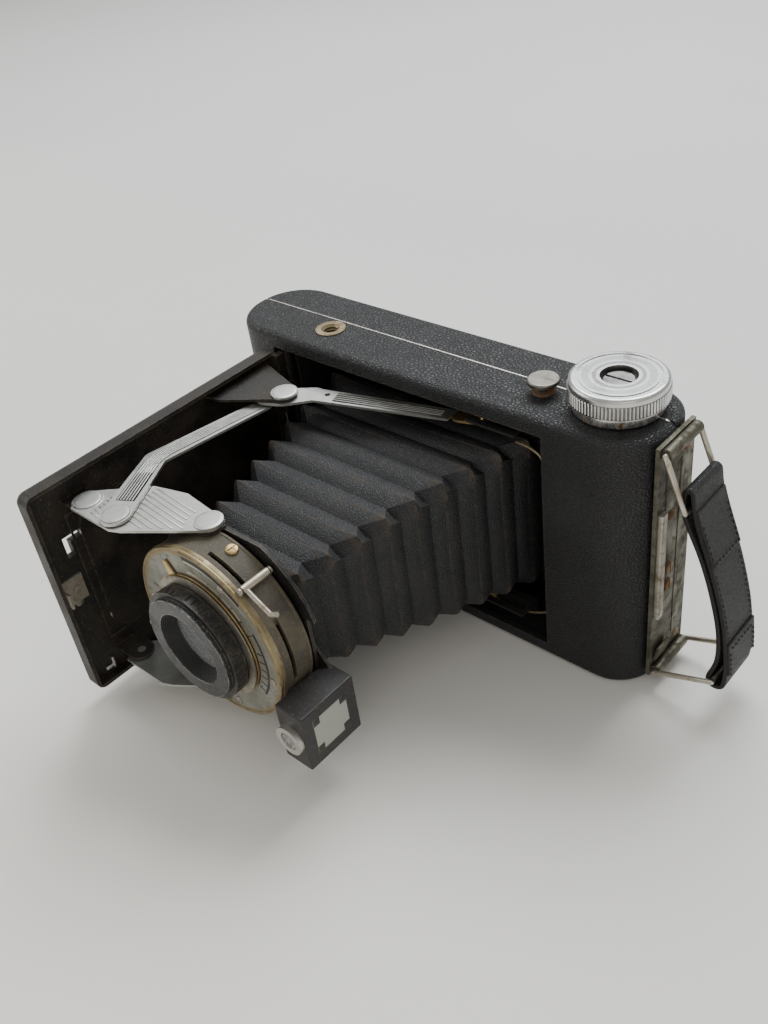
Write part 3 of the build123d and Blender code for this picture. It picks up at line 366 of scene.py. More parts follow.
# %% Knob and face finishes
knob_finish = plated("knob_finish", (0.66, 0.66, 0.65), (0.47, 0.47, 0.46), 0.18, 0.02)
tree = knob_finish.node_tree
shader = tree.nodes["Principled BSDF"]
place = next(n for n in tree.nodes if n.type == "TEX_COORD").outputs["Object"]
_, _, tall = parts_of(tree, place)
damp = maths(tree, "MULTIPLY", mask(tree, tall, 88.6 * MM, 87.0 * MM), mask(tree, noise(tree, place, 260.0, 6.0), 0.47, 0.62))
for socket, value in (("Base Color", (0.17, 0.10, 0.05)), ("Roughness", 0.8)):
    was = shader.inputs[socket].links[0].from_socket
    joined = blend_colour(tree, damp, was, value) if socket == "Base Color" else blend_value(tree, damp, was, value)
    tree.links.new(joined, shader.inputs[socket])
x, y, _ = parts_of(tree, place)
dx, dy = maths(tree, "SUBTRACT", x, 59.4 * MM), maths(tree, "SUBTRACT", y, 1.2 * MM)
from_knob = maths(tree, "SQRT", maths(tree, "ADD", maths(tree, "MULTIPLY", dx, dx), maths(tree, "MULTIPLY", dy, dy)))


def ring_of(inner, outer):
    return maths(tree, "MULTIPLY", maths(tree, "GREATER_THAN", from_knob, inner * MM), maths(tree, "LESS_THAN", from_knob, outer * MM))


# Painted shade: rings on the knob top over the turned grooves and the gaps between the knurl ribs are darkened in the
# colour; the centre disc within 5 mm is darkened as well.
knurl_painted_shade = maths(tree, "MULTIPLY", ring_of(12.5, 13.14), maths(tree, "MULTIPLY", maths(tree, "GREATER_THAN", tall, 88.3 * MM), maths(tree, "LESS_THAN", tall, 92.2 * MM)))
groove_painted_shade = maths(tree, "ADD", maths(tree, "MULTIPLY", ring_of(5.9, 6.9), 0.6), maths(tree, "MULTIPLY", ring_of(7.8, 9.7), 0.35))
dull = maths(tree, "MINIMUM", maths(tree, "ADD", maths(tree, "ADD", groove_painted_shade, maths(tree, "MULTIPLY", ring_of(0.0, 5.0), 0.6)), knurl_painted_shade), 0.9)
# Mixes these painted shade rings into the knob colour.
was = shader.inputs["Base Color"].links[0].from_socket
tree.links.new(blend_colour(tree, dull, was, (0.10, 0.095, 0.085)), shader.inputs["Base Color"])
dress(knob_finish, "knob", "knob_screw")

face_nickel = plated("face_nickel_finish", (0.35, 0.35, 0.315), (0.25, 0.245, 0.205), 0.4, 0.16,
                     (0.05, 0.048, 0.04))
tree = face_nickel.node_tree
shader = tree.nodes["Principled BSDF"]
place = next(n for n in tree.nodes if n.type == "TEX_COORD").outputs["Object"]
edge = round_axis(tree, place)
ragged = maths(tree, "ADD", edge, maths(tree, "MULTIPLY", noise(tree, place, 240.0, 4.0), 1.6 * MM))
bare = mask(tree, ragged, 26.4 * MM, 27.2 * MM)
was = shader.inputs["Base Color"].links[0].from_socket
tree.links.new(blend_colour(tree, bare, was, (0.33, 0.27, 0.15)), shader.inputs["Base Color"])
dress(face_nickel, "shutter_face")

# %% [markdown]
# ## Paints
# Four kinds of old black: the bed's baked enamel gone brown and rubbed through at the rim,
# the wrinkled grey-brown lacquer on the shutter case, the smooth black of the lens mount and
# finder, and the plain grey ring round the lens. Each is a base, a worn colour where the
# edges rub, dust in the broad patches and a fine bump.

# %% Paints
def paint(name, base, faded, under, rough, grain, depth, wear=0.0006, under_metal=0.6, patch=(0.42, 0.7)):
    mat, tree, shader, place = new_finish(name, base, 0.0, rough)
    patches = mask(tree, noise(tree, place, 75.0, 6.0, 0.62), *patch)
    speck = mask(tree, noise(tree, place, 1500.0, 3.0), 0.60, 0.72)
    colour = blend_colour(tree, patches, base, faded)
    colour = blend_colour(tree, maths(tree, "MULTIPLY", speck, 0.45), colour, under)
    worn = maths(tree, "MULTIPLY", rubbed_edges(tree, wear), mask(tree, noise(tree, place, 500.0, 5.0), 0.4, 0.56))
    colour = blend_colour(tree, worn, colour, under)
    plug(tree, colour, shader.inputs["Base Color"])
    plug(tree, maths(tree, "MULTIPLY", worn, under_metal), shader.inputs["Metallic"])
    plug(tree, blend_value(tree, patches, rough, min(1.0, rough + 0.25)),
         shader.inputs["Roughness"])
    raise_by(tree, shader, noise(tree, place, grain, 3.0), depth, 0.7)
    return mat


bed_paint = paint("bed_paint_finish", (0.007, 0.006, 0.005), (0.030, 0.022, 0.014), (0.16, 0.13, 0.085), 0.48, 900.0, 0.00008)
case_paint = paint("case_paint_finish", (0.038, 0.034, 0.026), (0.105, 0.089, 0.062), (0.25, 0.20, 0.125), 0.5, 1500.0, 0.00018, patch=(0.36, 0.6))
smooth_black = paint("smooth_black_finish", (0.010, 0.010, 0.011), (0.024, 0.020, 0.017), (0.17, 0.14, 0.10), 0.34, 1200.0, 0.00003)
matt_black = paint("matt_black_finish", (0.006, 0.006, 0.006), (0.014, 0.012, 0.010), (0.05, 0.045, 0.04), 0.75, 800.0, 0.00006)
ring_grey = paint("ring_grey_finish", (0.020, 0.0205, 0.021), (0.014, 0.014, 0.014), (0.40, 0.40, 0.38), 0.34, 1100.0, 0.00004)
spool_paint = paint("spool_finish", (0.05, 0.042, 0.03), (0.09, 0.07, 0.05), (0.3, 0.28, 0.24),
                    0.5, 700.0, 0.00005)
dress(bed_paint, "bed_tray")
dress(case_paint, "shutter_case")
dress(smooth_black, "standard", "lens_mount", "focus_ring", "finder_box", "window_rails",
      "rear_cell")
dress(matt_black, "film_gate", "well_frame", "well_sides", "blade_plate")
dress(spool_paint, "takeup_spool")

# %% [markdown]
# The grey ring in front of the lens is grey only on its flat face; its bore is black with
# fine turned rings that stop reflections. A mask on the distance from the lens axis keeps
# the two apart, and a wave in the depth direction makes the rings.

# %% Ring round the lens
tree = ring_grey.node_tree
shader = tree.nodes["Principled BSDF"]
place = next(n for n in tree.nodes if n.type == "TEX_COORD").outputs["Object"]
bore = mask(tree, round_axis(tree, place), 11.25 * MM, 11.15 * MM)
was = shader.inputs["Base Color"].links[0].from_socket
tree.links.new(blend_colour(tree, bore, was, (0.008, 0.008, 0.008)), shader.inputs["Base Color"])
_, deep, _ = parts_of(tree, place)
turned_rings = maths(tree, "MULTIPLY", maths(tree, "SINE", maths(tree, "MULTIPLY", deep,
                                                                 2 * pi / (0.45 * MM))), bore)
raise_by(tree, shader, turned_rings, 0.00008, 1.0)
dress(ring_grey, "front_ring")

# %% [markdown]
# ## Glass
# The lenses are clear with a hint of grey and a smudge of dust, the red window is dyed
# glass, and the finder's window is ground glass, which is pale and scatters light.

# %% Glass finishes
def glass(name, colour, rough, clear, index=1.5):
    mat, tree, shader, place = new_finish(name, colour, 0.0, rough)
    shader.inputs["Transmission Weight"].default_value = clear
    shader.inputs["IOR"].default_value = index
    smudge = mask(tree, noise(tree, place, 210.0, 5.0), 0.45, 0.75)
    plug(tree, blend_value(tree, smudge, rough, rough + 0.12), shader.inputs["Roughness"])
    raise_by(tree, shader, noise(tree, place, 120.0), 0.00001, 0.1)
    return mat


lens_glass = glass("lens_glass_finish", (0.62, 0.65, 0.66), 0.03, 0.72, 1.7)
red_glass = glass("red_glass_finish", (0.45, 0.01, 0.008), 0.08, 0.5)
frosted_glass = glass("frosted_glass_finish", (0.42, 0.43, 0.38), 0.5, 0.12)
dress(lens_glass, "front_glass", "rear_glass", "finder_lens")
dress(red_glass, "red_window")
dress(frosted_glass, "finder_window")

# %% [markdown]
# ## Bellows leather
# Thin black leathercloth, rubbed brown and dusty along the outer folds. The bellows mesh
# carries two numbers at each point, how near it is to an outer fold and to a corner, and
# the finish reads them, so the wear follows the folds wherever they go.

# %% Bellows finish
bellows_finish, tree, shader, place = new_finish("bellows_finish", (0.012, 0.0125, 0.014), 0.0,
                                                 0.55)
fold_mark = tree.nodes.new("ShaderNodeAttribute")
fold_mark.attribute_name = "fold"
corner_mark = tree.nodes.new("ShaderNodeAttribute")
corner_mark.attribute_name = "corner"
grain = mask(tree, cells(tree, stretched(tree, place, (1.3, 1.0, 1.0)), 1200.0), 0.0, 0.25)
dust = mask(tree, noise(tree, place, 90.0, 5.0), 0.35, 0.7)
skin = blend_colour(tree, grain, (0.006, 0.0065, 0.0075), (0.018, 0.020, 0.023))
skin = blend_colour(tree, maths(tree, "MULTIPLY", dust, 0.35), skin, (0.035, 0.032, 0.028))
broken = mask(tree, noise(tree, place, 520.0, 6.0, 0.65), 0.40, 0.60)
ridge = maths(tree, "MULTIPLY", mask(tree, fold_mark.outputs["Fac"], 0.86, 1.0), broken)
cap = maths(tree, "MULTIPLY", maths(tree, "MULTIPLY", corner_mark.outputs["Fac"], mask(tree, fold_mark.outputs["Fac"], 0.55, 0.9)), broken)
rubbed = maths(tree, "MAXIMUM", ridge, cap)
skin = blend_colour(tree, maths(tree, "MULTIPLY", rubbed, 0.8), skin, (0.075, 0.056, 0.038))
# Darker colour in the inner fold valleys, read from the fold number.
inner_fold_darkening = mask(tree, fold_mark.outputs["Fac"], 0.16, 0.02)
skin = blend_colour(tree, maths(tree, "MULTIPLY", inner_fold_darkening, 0.55), skin, (0.006, 0.005, 0.004))
plug(tree, skin, shader.inputs["Base Color"])
plug(tree, blend_value(tree, rubbed, blend_value(tree, grain, 0.66, 0.44), 0.8),
     shader.inputs["Roughness"])
raise_by(tree, shader, noise(tree, place, 60.0, 2.0), 0.0005, 0.25)
raise_by(tree, shader, grain, 0.00013, 0.8)
print("finishes made:", len(bpy.data.materials))

# %% [markdown]
# ## Working by hand in code
# Each piece below starts as a primitive at its size and place and is shaped in edit mode.
# These helpers keep the steps short: start clean, enter edit mode, and at the end give the
# piece its name, its finish and the body that it rides on.

# %% Modelling helpers
def start_fresh():
    if bpy.context.object and bpy.context.object.mode != "OBJECT":
        bpy.ops.object.mode_set(mode="OBJECT")
    bpy.ops.object.select_all(action="DESELECT")


def shape_it():
    bpy.ops.object.transform_apply(location=True, rotation=True, scale=True)
    bpy.ops.object.mode_set(mode="EDIT")
    bpy.ops.mesh.select_all(action="SELECT")


def finish_with(kind, **settings):
    """Adds a modifier to the active piece, sets it and applies it."""
    bpy.ops.object.modifier_add(type=kind)
    ob = bpy.context.object
    last = ob.modifiers[-1]
    for key, value in settings.items():
        setattr(last, key, value)
    bpy.ops.object.modifier_apply(modifier=last.name)


def tidy_mesh(gap=0.000002):
    bpy.ops.object.mode_set(mode="EDIT")
    bpy.ops.mesh.select_all(action="SELECT")
    bpy.ops.mesh.remove_doubles(threshold=gap)
    bpy.ops.mesh.normals_make_consistent(inside=False)
    bpy.ops.object.mode_set(mode="OBJECT")


def join_all(objects):
    start_fresh()
    for ob in objects:
        ob.select_set(True)
    bpy.context.view_layer.objects.active = objects[0]
    if len(objects) > 1:
        bpy.ops.object.join()
    return bpy.context.object


def settle(name, body, finish, smooth=35):
    ob = bpy.context.object
    start_fresh()
    ob.select_set(True)
    bpy.context.view_layer.objects.active = ob
    ob.name = name
    ob.data.name = name
    bpy.ops.object.transform_apply(location=True, rotation=True, scale=True)
    bpy.ops.object.shade_smooth_by_angle(angle=radians(smooth))
    ob.data.materials.clear()
    ob.data.materials.append(finish)
    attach(ob, body)
    print(f"{name}: {len(ob.data.polygons)} faces on {body}")
    return ob


def lower_twin(ob, name, body):
    """A second copy, mirrored to the lower side of the camera, with its own mesh."""
    start_fresh()
    ob.select_set(True)
    bpy.context.view_layer.objects.active = ob
    bpy.ops.object.duplicate()
    bpy.ops.object.mode_set(mode="EDIT")
    bpy.ops.mesh.select_all(action="SELECT")
    bpy.ops.transform.resize(value=(1, 1, -1), center_override=(0, 0, 42.5 * MM))
    bpy.ops.mesh.flip_normals()
    bpy.ops.object.mode_set(mode="OBJECT")
    twin = bpy.context.object
    twin.name = name
    twin.data.name = name
    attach(twin, body)
    print(f"{name}: mirrored")
    return twin


# %% [markdown]
# ## Bellows
# A light-tight sleeve of thin leathercloth, creased into ten pleats. It could be made from
# stacked rings or carved from the plain sleeve of the frame. A flat sheet, creased and
# folded round like the real one, is chosen: a grid gives it enough points, each point is
# moved to its place round the sleeve, and the seam is welded. Outer folds keep nearly
# square corners, inner folds have theirs cut off, and that makes the stepped corner line.
# The stiffening boards show as slightly raised fields between the folds.

# %% Bellows shape
pleats = 10
row_phases = (0.0, 0.035, 0.11, 0.39, 0.465, 0.5, 0.535, 0.61, 0.89, 0.965)
side_steps = (-1.0, -0.93, -0.8, -0.5, -0.2, 0.1, 0.4, 0.65, 0.82, 0.93, 1.0)
pleat_depth = 2.1
sleeve_back, sleeve_front = 7.5, -81.4


def sleeve_size(y):
    """Centre across, half width and half height of the outer folds at this depth."""
    t = (sleeve_back - y) / (sleeve_back - sleeve_front)
    full = sin(pi * min(1.0, t * 1.15)) * 1.5
    return -2.5 - 6.5 * t, 42.6 - 22.1 * t - 0.8 * sin(pi * t), 27.9 - 10.4 * t + full


def round_sleeve(step, a, b, cut):
    """Point number step of the ring: 11 along each side and one on each cut corner."""
    side, i = divmod(step, len(side_steps) + 1)
    if i == len(side_steps):
        x, z = a - cut * 0.42, b - cut * 0.42
        corner = 1.0
    else:
        x, z = side_steps[i] * (a - cut), b
        corner = 1.0 if abs(side_steps[i]) > 0.9 else 0.0
    if i == len(side_steps):
        signs = ((1, 1), (1, -1), (-1, -1), (-1, 1))[side % 4]
        return x * signs[0], z * signs[1], corner, 0.0
    t = side_steps[i]
    if side % 4 == 0:
        return t * (a - cut), b, corner, t
    if side % 4 == 1:
        return a, -t * (b - cut), corner, t
    if side % 4 == 2:
        return -t * (a - cut), -b, corner, t
    return -a, t * (b - cut), corner, t


# %% Fold the sheet
start_fresh()
ring_points = 4 * (len(side_steps) + 1)
rows = pleats * len(row_phases)
bpy.ops.mesh.primitive_grid_add(x_subdivisions=ring_points, y_subdivisions=rows, size=1)
sheet_ob = bpy.context.object
folds, corners = [], []
for v in sheet_ob.data.vertices:
    step = round((v.co.x + 0.5) * ring_points) % ring_points
    pleat, part = divmod(round((v.co.y + 0.5) * rows), len(row_phases))
    phase = row_phases[part]
    y = sleeve_back + (sleeve_front - sleeve_back) * (pleat + phase) / pleats
    fold = 1 - abs(1 - 2 * phase)
    centre, a, b = sleeve_size(y)
    deep = pleat_depth * (1 - fold) * (0.75 if y < -70 else 1.0)
    board = 0.28 if 0.2 < fold < 0.8 else 0.0
    below = step // (len(side_steps) + 1) in (1, 2)
    deep *= 0.72 if below else 1.0
    cut = 2.1 * fold + 3.0 * (1 - fold) if below else 1.2 * fold + 4.4 * (1 - fold)
    x, z, corner, t = round_sleeve(step, a - deep, b - deep, cut)
    wobble = 0.22 * sin(pleat * 2.3 + step * 0.9) + 0.18 * sin(step * 2.1 - pleat * 1.1)
    sag = 0.9 * (1 - t * t) * (1 - corner) * fold
    raised = board * (1 - corner) + wobble * fold * 0.6 - sag
    if corner and fold > 0.95:
        raised += 0.25
    if corner < 1:
        z += raised * (1 if z > 0 else -1) * (1 if abs(abs(z) - (b - deep)) < 0.001 else 0)
        x += raised * (1 if x > 0 else -1) * (1 if abs(abs(x) - (a - deep)) < 0.001 else 0)
    y += 0.25 * sin(step * 0.55 + pleat * 1.9) * fold
    v.co = Vector((centre + x, y, 42.5 + z)) * MM
    folds.append(fold)
    corners.append(corner)
for name, values in (("fold", folds), ("corner", corners)):
    sheet_ob.data.attributes.new(name, "FLOAT", "POINT").data.foreach_set("value", values)
bpy.context.view_layer.objects.active = sheet_ob
tidy_mesh()
finish_with("SOLIDIFY", thickness=0.5 * MM, offset=-1.0)
bellows = settle("bellows_pleats", "camera_body", bellows_finish, 28)
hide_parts("bellows")
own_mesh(bellows)

# %% [markdown]
# ## Carrying strap
# A flat leather strap whose ends are folded round the two wire loops and stitched back on
# themselves. It could be a bevelled curve, but a strap is a band with square edges, so one
# point is extruded along the band's path, out one side, round the bar and back along the
# other, and that line is then extruded to the strap's width and given its thickness.

# %% Strap path
strap_half = 7.6
strap_path = ((84.9, 71.0), (84.9, 66.0), (87.0, 60.4), (89.4, 55.0), (91.5, 49.6), (93.4, 44.0),
              (95.1, 38.0), (96.6, 32.0), (97.5, 26.0), (97.9, 20.0), (97.7, 15.4), (96.6, 11.1))
strap_gap = (1.2, 1.75, 1.35, 1.0, 0.92, 0.9, 0.9, 0.9, 0.95, 1.2, 1.8, 2.5)


def beside(i, out):
    """Point i of the path moved sideways by out, towards the outside of the handle."""
    a = strap_path[max(0, i - 1)]
    b = strap_path[min(len(strap_path) - 1, i + 1)]
    run = hypot(b[0] - a[0], b[1] - a[1])
    nx, nz = -(b[1] - a[1]) / run, (b[0] - a[0]) / run
    return strap_path[i][0] + nx * out, strap_path[i][1] + nz * out


def cap(i, out, start, turn):
    """Points round the fold at one end, in steps of 36 degrees."""
    cx, cz = strap_path[i]
    return [(cx + out * cos(radians(start + turn * k)),
             cz + out * sin(radians(start + turn * k))) for k in range(1, 5)]


def drawn_line(points, closed):
    """One point extruded through the list, as a chain of edges in the XZ plane."""
    start_fresh()
    bpy.ops.mesh.primitive_plane_add(size=MM, location=(points[0][0] * MM, 0, points[0][1] * MM))
    shape_it()
    bpy.ops.mesh.merge(type="CENTER")
    chain = list(points) + ([points[0]] if closed else [])
    for a, b in zip(chain, chain[1:]):
        bpy.ops.mesh.extrude_region_move(TRANSFORM_OT_translate={"value": ((b[0] - a[0]) * MM, 0, (b[1] - a[1]) * MM)})
    bpy.ops.mesh.select_all(action="SELECT")
    bpy.ops.mesh.remove_doubles(threshold=0.000002)


def band(points, closed, half, thick):
    drawn_line(points, closed)
    bpy.ops.transform.translate(value=(0, -half * MM, 0))
    for _ in range(4):
        bpy.ops.mesh.extrude_region_move(TRANSFORM_OT_translate={"value": (0, half * MM / 2, 0)})
    tidy_mesh()
    finish_with("SUBSURF", levels=2, render_levels=2, boundary_smooth="PRESERVE_CORNERS")
    finish_with("SOLIDIFY", thickness=thick * MM, offset=0.0)
    finish_with("BEVEL", width=0.28 * MM, segments=2, limit_method="ANGLE", angle_limit=radians(50))
    return bpy.context.object


# %% Strap bands
count = len(strap_path)
outline = [beside(i, strap_gap[i]) for i in range(count)]
outline += cap(count - 1, strap_gap[-1], 0, -36)[0:4]
outline += [beside(i, -strap_gap[i]) for i in reversed(range(count))]
outline += cap(0, strap_gap[0], 180, -36)[0:4]
band(outline, True, strap_half, 1.3)
strap = settle("strap_band", "carry_strap", strap_leather, 50)
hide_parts("strap")
top_tail = [beside(i, strap_gap[i] + 0.85) for i in range(1, 5)]
band(top_tail, False, strap_half - 0.15, 0.7)
settle("strap_tail_upper", "carry_strap", strap_leather, 50)
low_tail = [beside(i, strap_gap[i] + 0.85) for i in range(8, count - 1)]
band(low_tail, False, strap_half - 0.15, 0.7)
settle("strap_tail_lower", "carry_strap", strap_leather, 50)

# %% [markdown]
# The stitches are waxed thread, one short rounded bead per stitch, sunk a little into the
# leather along both edges and across each tail. One bead is made and copied along the band.

# %% Stitches
thread_finish, tree, shader, place = new_finish("thread_finish", (0.02, 0.018, 0.016), 0.0, 0.6)
plug(tree, blend_colour(tree, noise(tree, place, 900.0), (0.013, 0.012, 0.011), (0.05, 0.045, 0.038)), shader.inputs["Base Color"])
raise_by(tree, shader, noise(tree, stretched(tree, place, (1, 1, 3)), 2500.0), 0.00004, 0.6)


def along_band(z, out):
    """Place and slope of the band's outer face at this height."""
    for i in range(1, count - 1):
        a, b = beside(i, strap_gap[i] + out), beside(i + 1, strap_gap[i + 1] + out)
        if a[1] >= z >= b[1]:
            t = (a[1] - z) / (a[1] - b[1])
            return a[0] + (b[0] - a[0]) * t, atan2(b[0] - a[0], a[1] - b[1])
    return strap_path[-1][0], 0.0


beads = []
rows_of_beads = [(0.68, 6.5, 24.5, 49.0), (1.32, 6.6, 51.0, 63.0), (1.32, 6.6, 15.5, 23.5)]
for out, y_edge, z_low, z_high in rows_of_beads:
    z = z_low
    while z < z_high:
        x, slope = along_band(z, out)
        for side in (-1, 1):
            beads.append((x, side * y_edge, z, slope, False))
        z += 1.75
for z_line in (51.0, 24.2):
    for k in range(-3, 4):
        x, slope = along_band(z_line, 1.32)
        beads.append((x, k * 1.75, z_line, slope, True))
start_fresh()
bpy.ops.mesh.primitive_ico_sphere_add(subdivisions=1, radius=0.5 * MM)
first_bead = bpy.context.object
made = []
for x, y, z, slope, crosswise in beads:
    start_fresh()
    first_bead.select_set(True)
    bpy.context.view_layer.objects.active = first_bead
    bpy.ops.object.duplicate()
    bead = bpy.context.object
    bead.scale = (0.5, 1.25, 0.5) if crosswise else (0.5, 0.5, 1.25)
    bead.rotation_euler = (0, -slope, 0)
    bead.location = Vector((x, y, z)) * MM
    made.append(bead)
bpy.data.objects.remove(first_bead)
join_all(made)
settle("strap_stitches", "carry_strap", thread_finish, 60)

# %% [markdown]
# ## Pressed ribs on the struts
# The struts are thin nickelled steel, stiffened by fine ribs pressed along them. A bump
# would show the lines but not the edge of light on each rib, so they are real. A line of
# short edges is laid across the strut, extruded from station to station along it, turned
# and narrowed on the way, and every second strip of the sheet is then raised.

# %% Ribbed sheet
def ribbed_sheet(stations, ribs, z, rise):
    """stations: (x, y, half width). The sheet lies on a strut whose outer face is at z."""
    across = 2 * ribs + 1
    start_fresh()
    bpy.ops.mesh.primitive_grid_add(x_subdivisions=across, y_subdivisions=1,
                                    size=2 * stations[0][2] * MM)
    shape_it()
    bpy.ops.transform.resize(value=(1, 0, 1))
    bpy.ops.mesh.remove_doubles(threshold=0.000002)
    headings = []
    for i in range(len(stations)):
        a, b = stations[max(0, i - 1)], stations[min(len(stations) - 1, i + 1)]
        headings.append(atan2(b[1] - a[1], b[0] - a[0]) - pi / 2)
    x, y, half = stations[0]
    here = Vector((x, y, z)) * MM
    ob = bpy.context.object
    bpy.ops.transform.translate(value=here)
    bpy.ops.object.mode_set(mode="OBJECT")
    for v in ob.data.vertices:
        v.co = Matrix.Translation(here) @ Matrix.Rotation(headings[0], 4,
                                                          "Z") @ Matrix.Translation(-here) @ v.co
    bpy.ops.object.mode_set(mode="EDIT")
    bpy.ops.mesh.select_all(action="SELECT")
    for i in range(1, len(stations)):
        nx, ny, new_half = stations[i]
        there = Vector((nx, ny, z)) * MM
        bpy.ops.mesh.extrude_region_move(TRANSFORM_OT_translate={"value": there - here})
        scale = new_half / half
        bpy.ops.transform.resize(value=(scale, scale, scale), center_override=there)
        turn = headings[i] - headings[i - 1]
        bpy.ops.object.mode_set(mode="OBJECT")
        for v in ob.data.vertices:
            if v.select:
                v.co = Matrix.Translation(there) @ Matrix.Rotation(turn, 4,
                                                                   "Z") @ Matrix.Translation(-there) @ v.co
        bpy.ops.object.mode_set(mode="EDIT")
        here, half = there, new_half
    bpy.ops.mesh.select_all(action="SELECT")
    bpy.ops.mesh.normals_make_consistent(inside=False)
    bpy.ops.object.mode_set(mode="OBJECT")
    if ob.data.polygons[0].normal.z < 0:
        bpy.ops.object.mode_set(mode="EDIT")
        bpy.ops.mesh.flip_normals()
        bpy.ops.object.mode_set(mode="OBJECT")
    runs = list(zip(stations, stations[1:]))
    for p in ob.data.polygons:
        c = p.center / MM
        best = None
        for (ax, ay, ah), (bx, by, bh) in runs:
            length = hypot(bx - ax, by - ay)
            ux, uy = (bx - ax) / length, (by - ay) / length
            t = (c.x - ax) * ux + (c.y - ay) * uy
            off = (c.x - ax) * -uy + (c.y - ay) * ux
            miss = max(0, -t, t - length)
            if best is None or miss + abs(off) * 0.01 < best[0]:
                best = (miss + abs(off) * 0.01, off / (ah + (bh - ah) * min(1, max(0, t / length))))
        p.select = int((best[1] + 1) / 2 * across) % 2 == 1
    for e in ob.data.edges:
        e.select = False
    for v in ob.data.vertices:
        v.select = False
    bpy.context.tool_settings.mesh_select_mode = (False, False, True)
    bpy.ops.object.mode_set(mode="EDIT")
    bpy.ops.mesh.extrude_region_move(TRANSFORM_OT_translate={"value": (0, 0, rise * MM)})
    bpy.ops.mesh.select_mode(type="VERT")
    bpy.ops.object.mode_set(mode="OBJECT")
    finish_with("BEVEL", width=0.07 * MM, segments=2, limit_method="ANGLE", angle_limit=radians(40))
    finish_with("SOLIDIFY", thickness=0.12 * MM, offset=-1.0)
    return ob


# %% Ribs on links and braces
link_stations = ((-38.6, -91.4, 2.9), (-44.8, -79.5, 2.7), (-46.7, -75.6, 2.65), (-47.6, -72.4, 2.6),
                 (-47.7, -69.0, 2.55), (-46.9, -64.0, 2.5), (-44.2, -47.6, 2.3), (-42.5, -37.6, 2.2))
ribbed_sheet(link_stations, 6, 73.5, 0.28)
link_ribs = settle("link_ribs_upper", "links", strut_nickel, 25)
lower_twin(link_ribs, "link_ribs_lower", "links")
brace_stations = ((-23.0, -22.9, 2.35), (-10.0, -19.2, 2.1), (4.0, -15.2, 1.8), (11.0, -13.3, 1.7))
ribbed_sheet(brace_stations, 4, 75.0, 0.16)
brace_ribs = settle("brace_ribs_upper", "braces", strut_nickel, 25)
lower_twin(brace_ribs, "brace_ribs_lower", "braces")

# %% [markdown]
# The plates carry a fan of straight ribs, each as long as the plate is wide at that place.
# A box with its upper edges bevelled makes one rib; the others are copies set to length.

# %% Ribs on the plates
plate_face = 72.4


def one_rib(x0, x1, y, width, rise):
    start_fresh()
    bpy.ops.mesh.primitive_cube_add(size=1, location=((x0 + x1) / 2 * MM, y * MM,
                                                      (plate_face + rise / 2 - 0.02) * MM),
                                    scale=((x1 - x0) * MM, width * MM, (rise + 0.04) * MM))
    shape_it()
    bpy.ops.transform.rotate(value=radians(4), orient_axis="Z",
                             center_override=((x0 + x1) / 2 * MM, y * MM, 0))
    bpy.ops.object.mode_set(mode="OBJECT")
    finish_with("BEVEL", width=0.09 * MM, segments=2, limit_method="ANGLE", angle_limit=radians(40))
    return bpy.context.object


ribs_made = []
for k in range(9):
    y = -82.6 - 1.65 * k
    x_left = -36.6 + max(0.0, -86.3 - y) * 0.5
    if abs(y + 83.7) < 5.6:
        x_right = -12.9 - (5.6 ** 2 - (y + 83.7) ** 2) ** 0.5
    else:
        x_right = -12.9
    x_right = min(x_right, -32.4 + (y + 100.0) * 1.55)
    if x_right - x_left > 1.5:
        ribs_made.append(one_rib(x_left, x_right, y, 0.55, 0.17))
for k in range(6):
    ribs_made.append(one_rib(-44.8 + 0.15 * k, -41.0 + 0.1 * k, -92.0 - 1.5 * k, 0.5, 0.17))
join_all(ribs_made)
plate_ribs = settle("plate_ribs_upper", "plates", strut_nickel, 25)
lower_twin(plate_ribs, "plate_ribs_lower", "plates")

# %% [markdown]
# ## Turned parts
# Rivet caps, collars, the rim of the shutter and screw heads were all turned on a lathe, so
# they are made the same way: one point is extruded along the profile and then spun once
# round the part's axis. The axis may point any way, which suits screws on curved walls.

# %% Lathe
def turned(profile, base, axis, steps=40):
    """profile: (radius, along the axis), in millimetres, from a base point."""
    axis = Vector(axis).normalized()
    side = axis.orthogonal().normalized()
    base = Vector(base) * MM
    spots = [base + side * r * MM + axis * h * MM for r, h in profile]
    start_fresh()
    bpy.ops.mesh.primitive_plane_add(size=MM, location=spots[0])
    shape_it()
    bpy.ops.mesh.merge(type="CENTER")
    for a, b in zip(spots, spots[1:]):
        bpy.ops.mesh.extrude_region_move(TRANSFORM_OT_translate={"value": b - a})
    bpy.ops.mesh.select_all(action="SELECT")
    bpy.ops.mesh.spin(steps=steps, angle=2 * pi, center=base, axis=axis)
    tidy_mesh()
    return bpy.context.object


def slotted(ob, base, axis, across, depth, width, length):
    """Cuts a screwdriver slot with a box, by a boolean that is applied."""
    axis = Vector(axis).normalized()
    start_fresh()
    bpy.ops.mesh.primitive_cube_add(size=1)
    cutter = bpy.context.object
    turn = Matrix((Vector(across).normalized(), axis.cross(Vector(across)).normalized(),
                   axis)).transposed().to_4x4()
    cutter.matrix_world = Matrix.Translation(Vector(base) * MM) @ turn @ Matrix.Diagonal((length * MM, width * MM, depth * 2 * MM, 1))
    bpy.context.view_layer.update()
    start_fresh()
    ob.select_set(True)
    bpy.context.view_layer.objects.active = ob
    finish_with("BOOLEAN", object=cutter, operation="DIFFERENCE", solver="EXACT")
    bpy.data.objects.remove(cutter)
    finish_with("BEVEL", width=0.06 * MM, segments=2, limit_method="ANGLE", angle_limit=radians(45))
    return ob


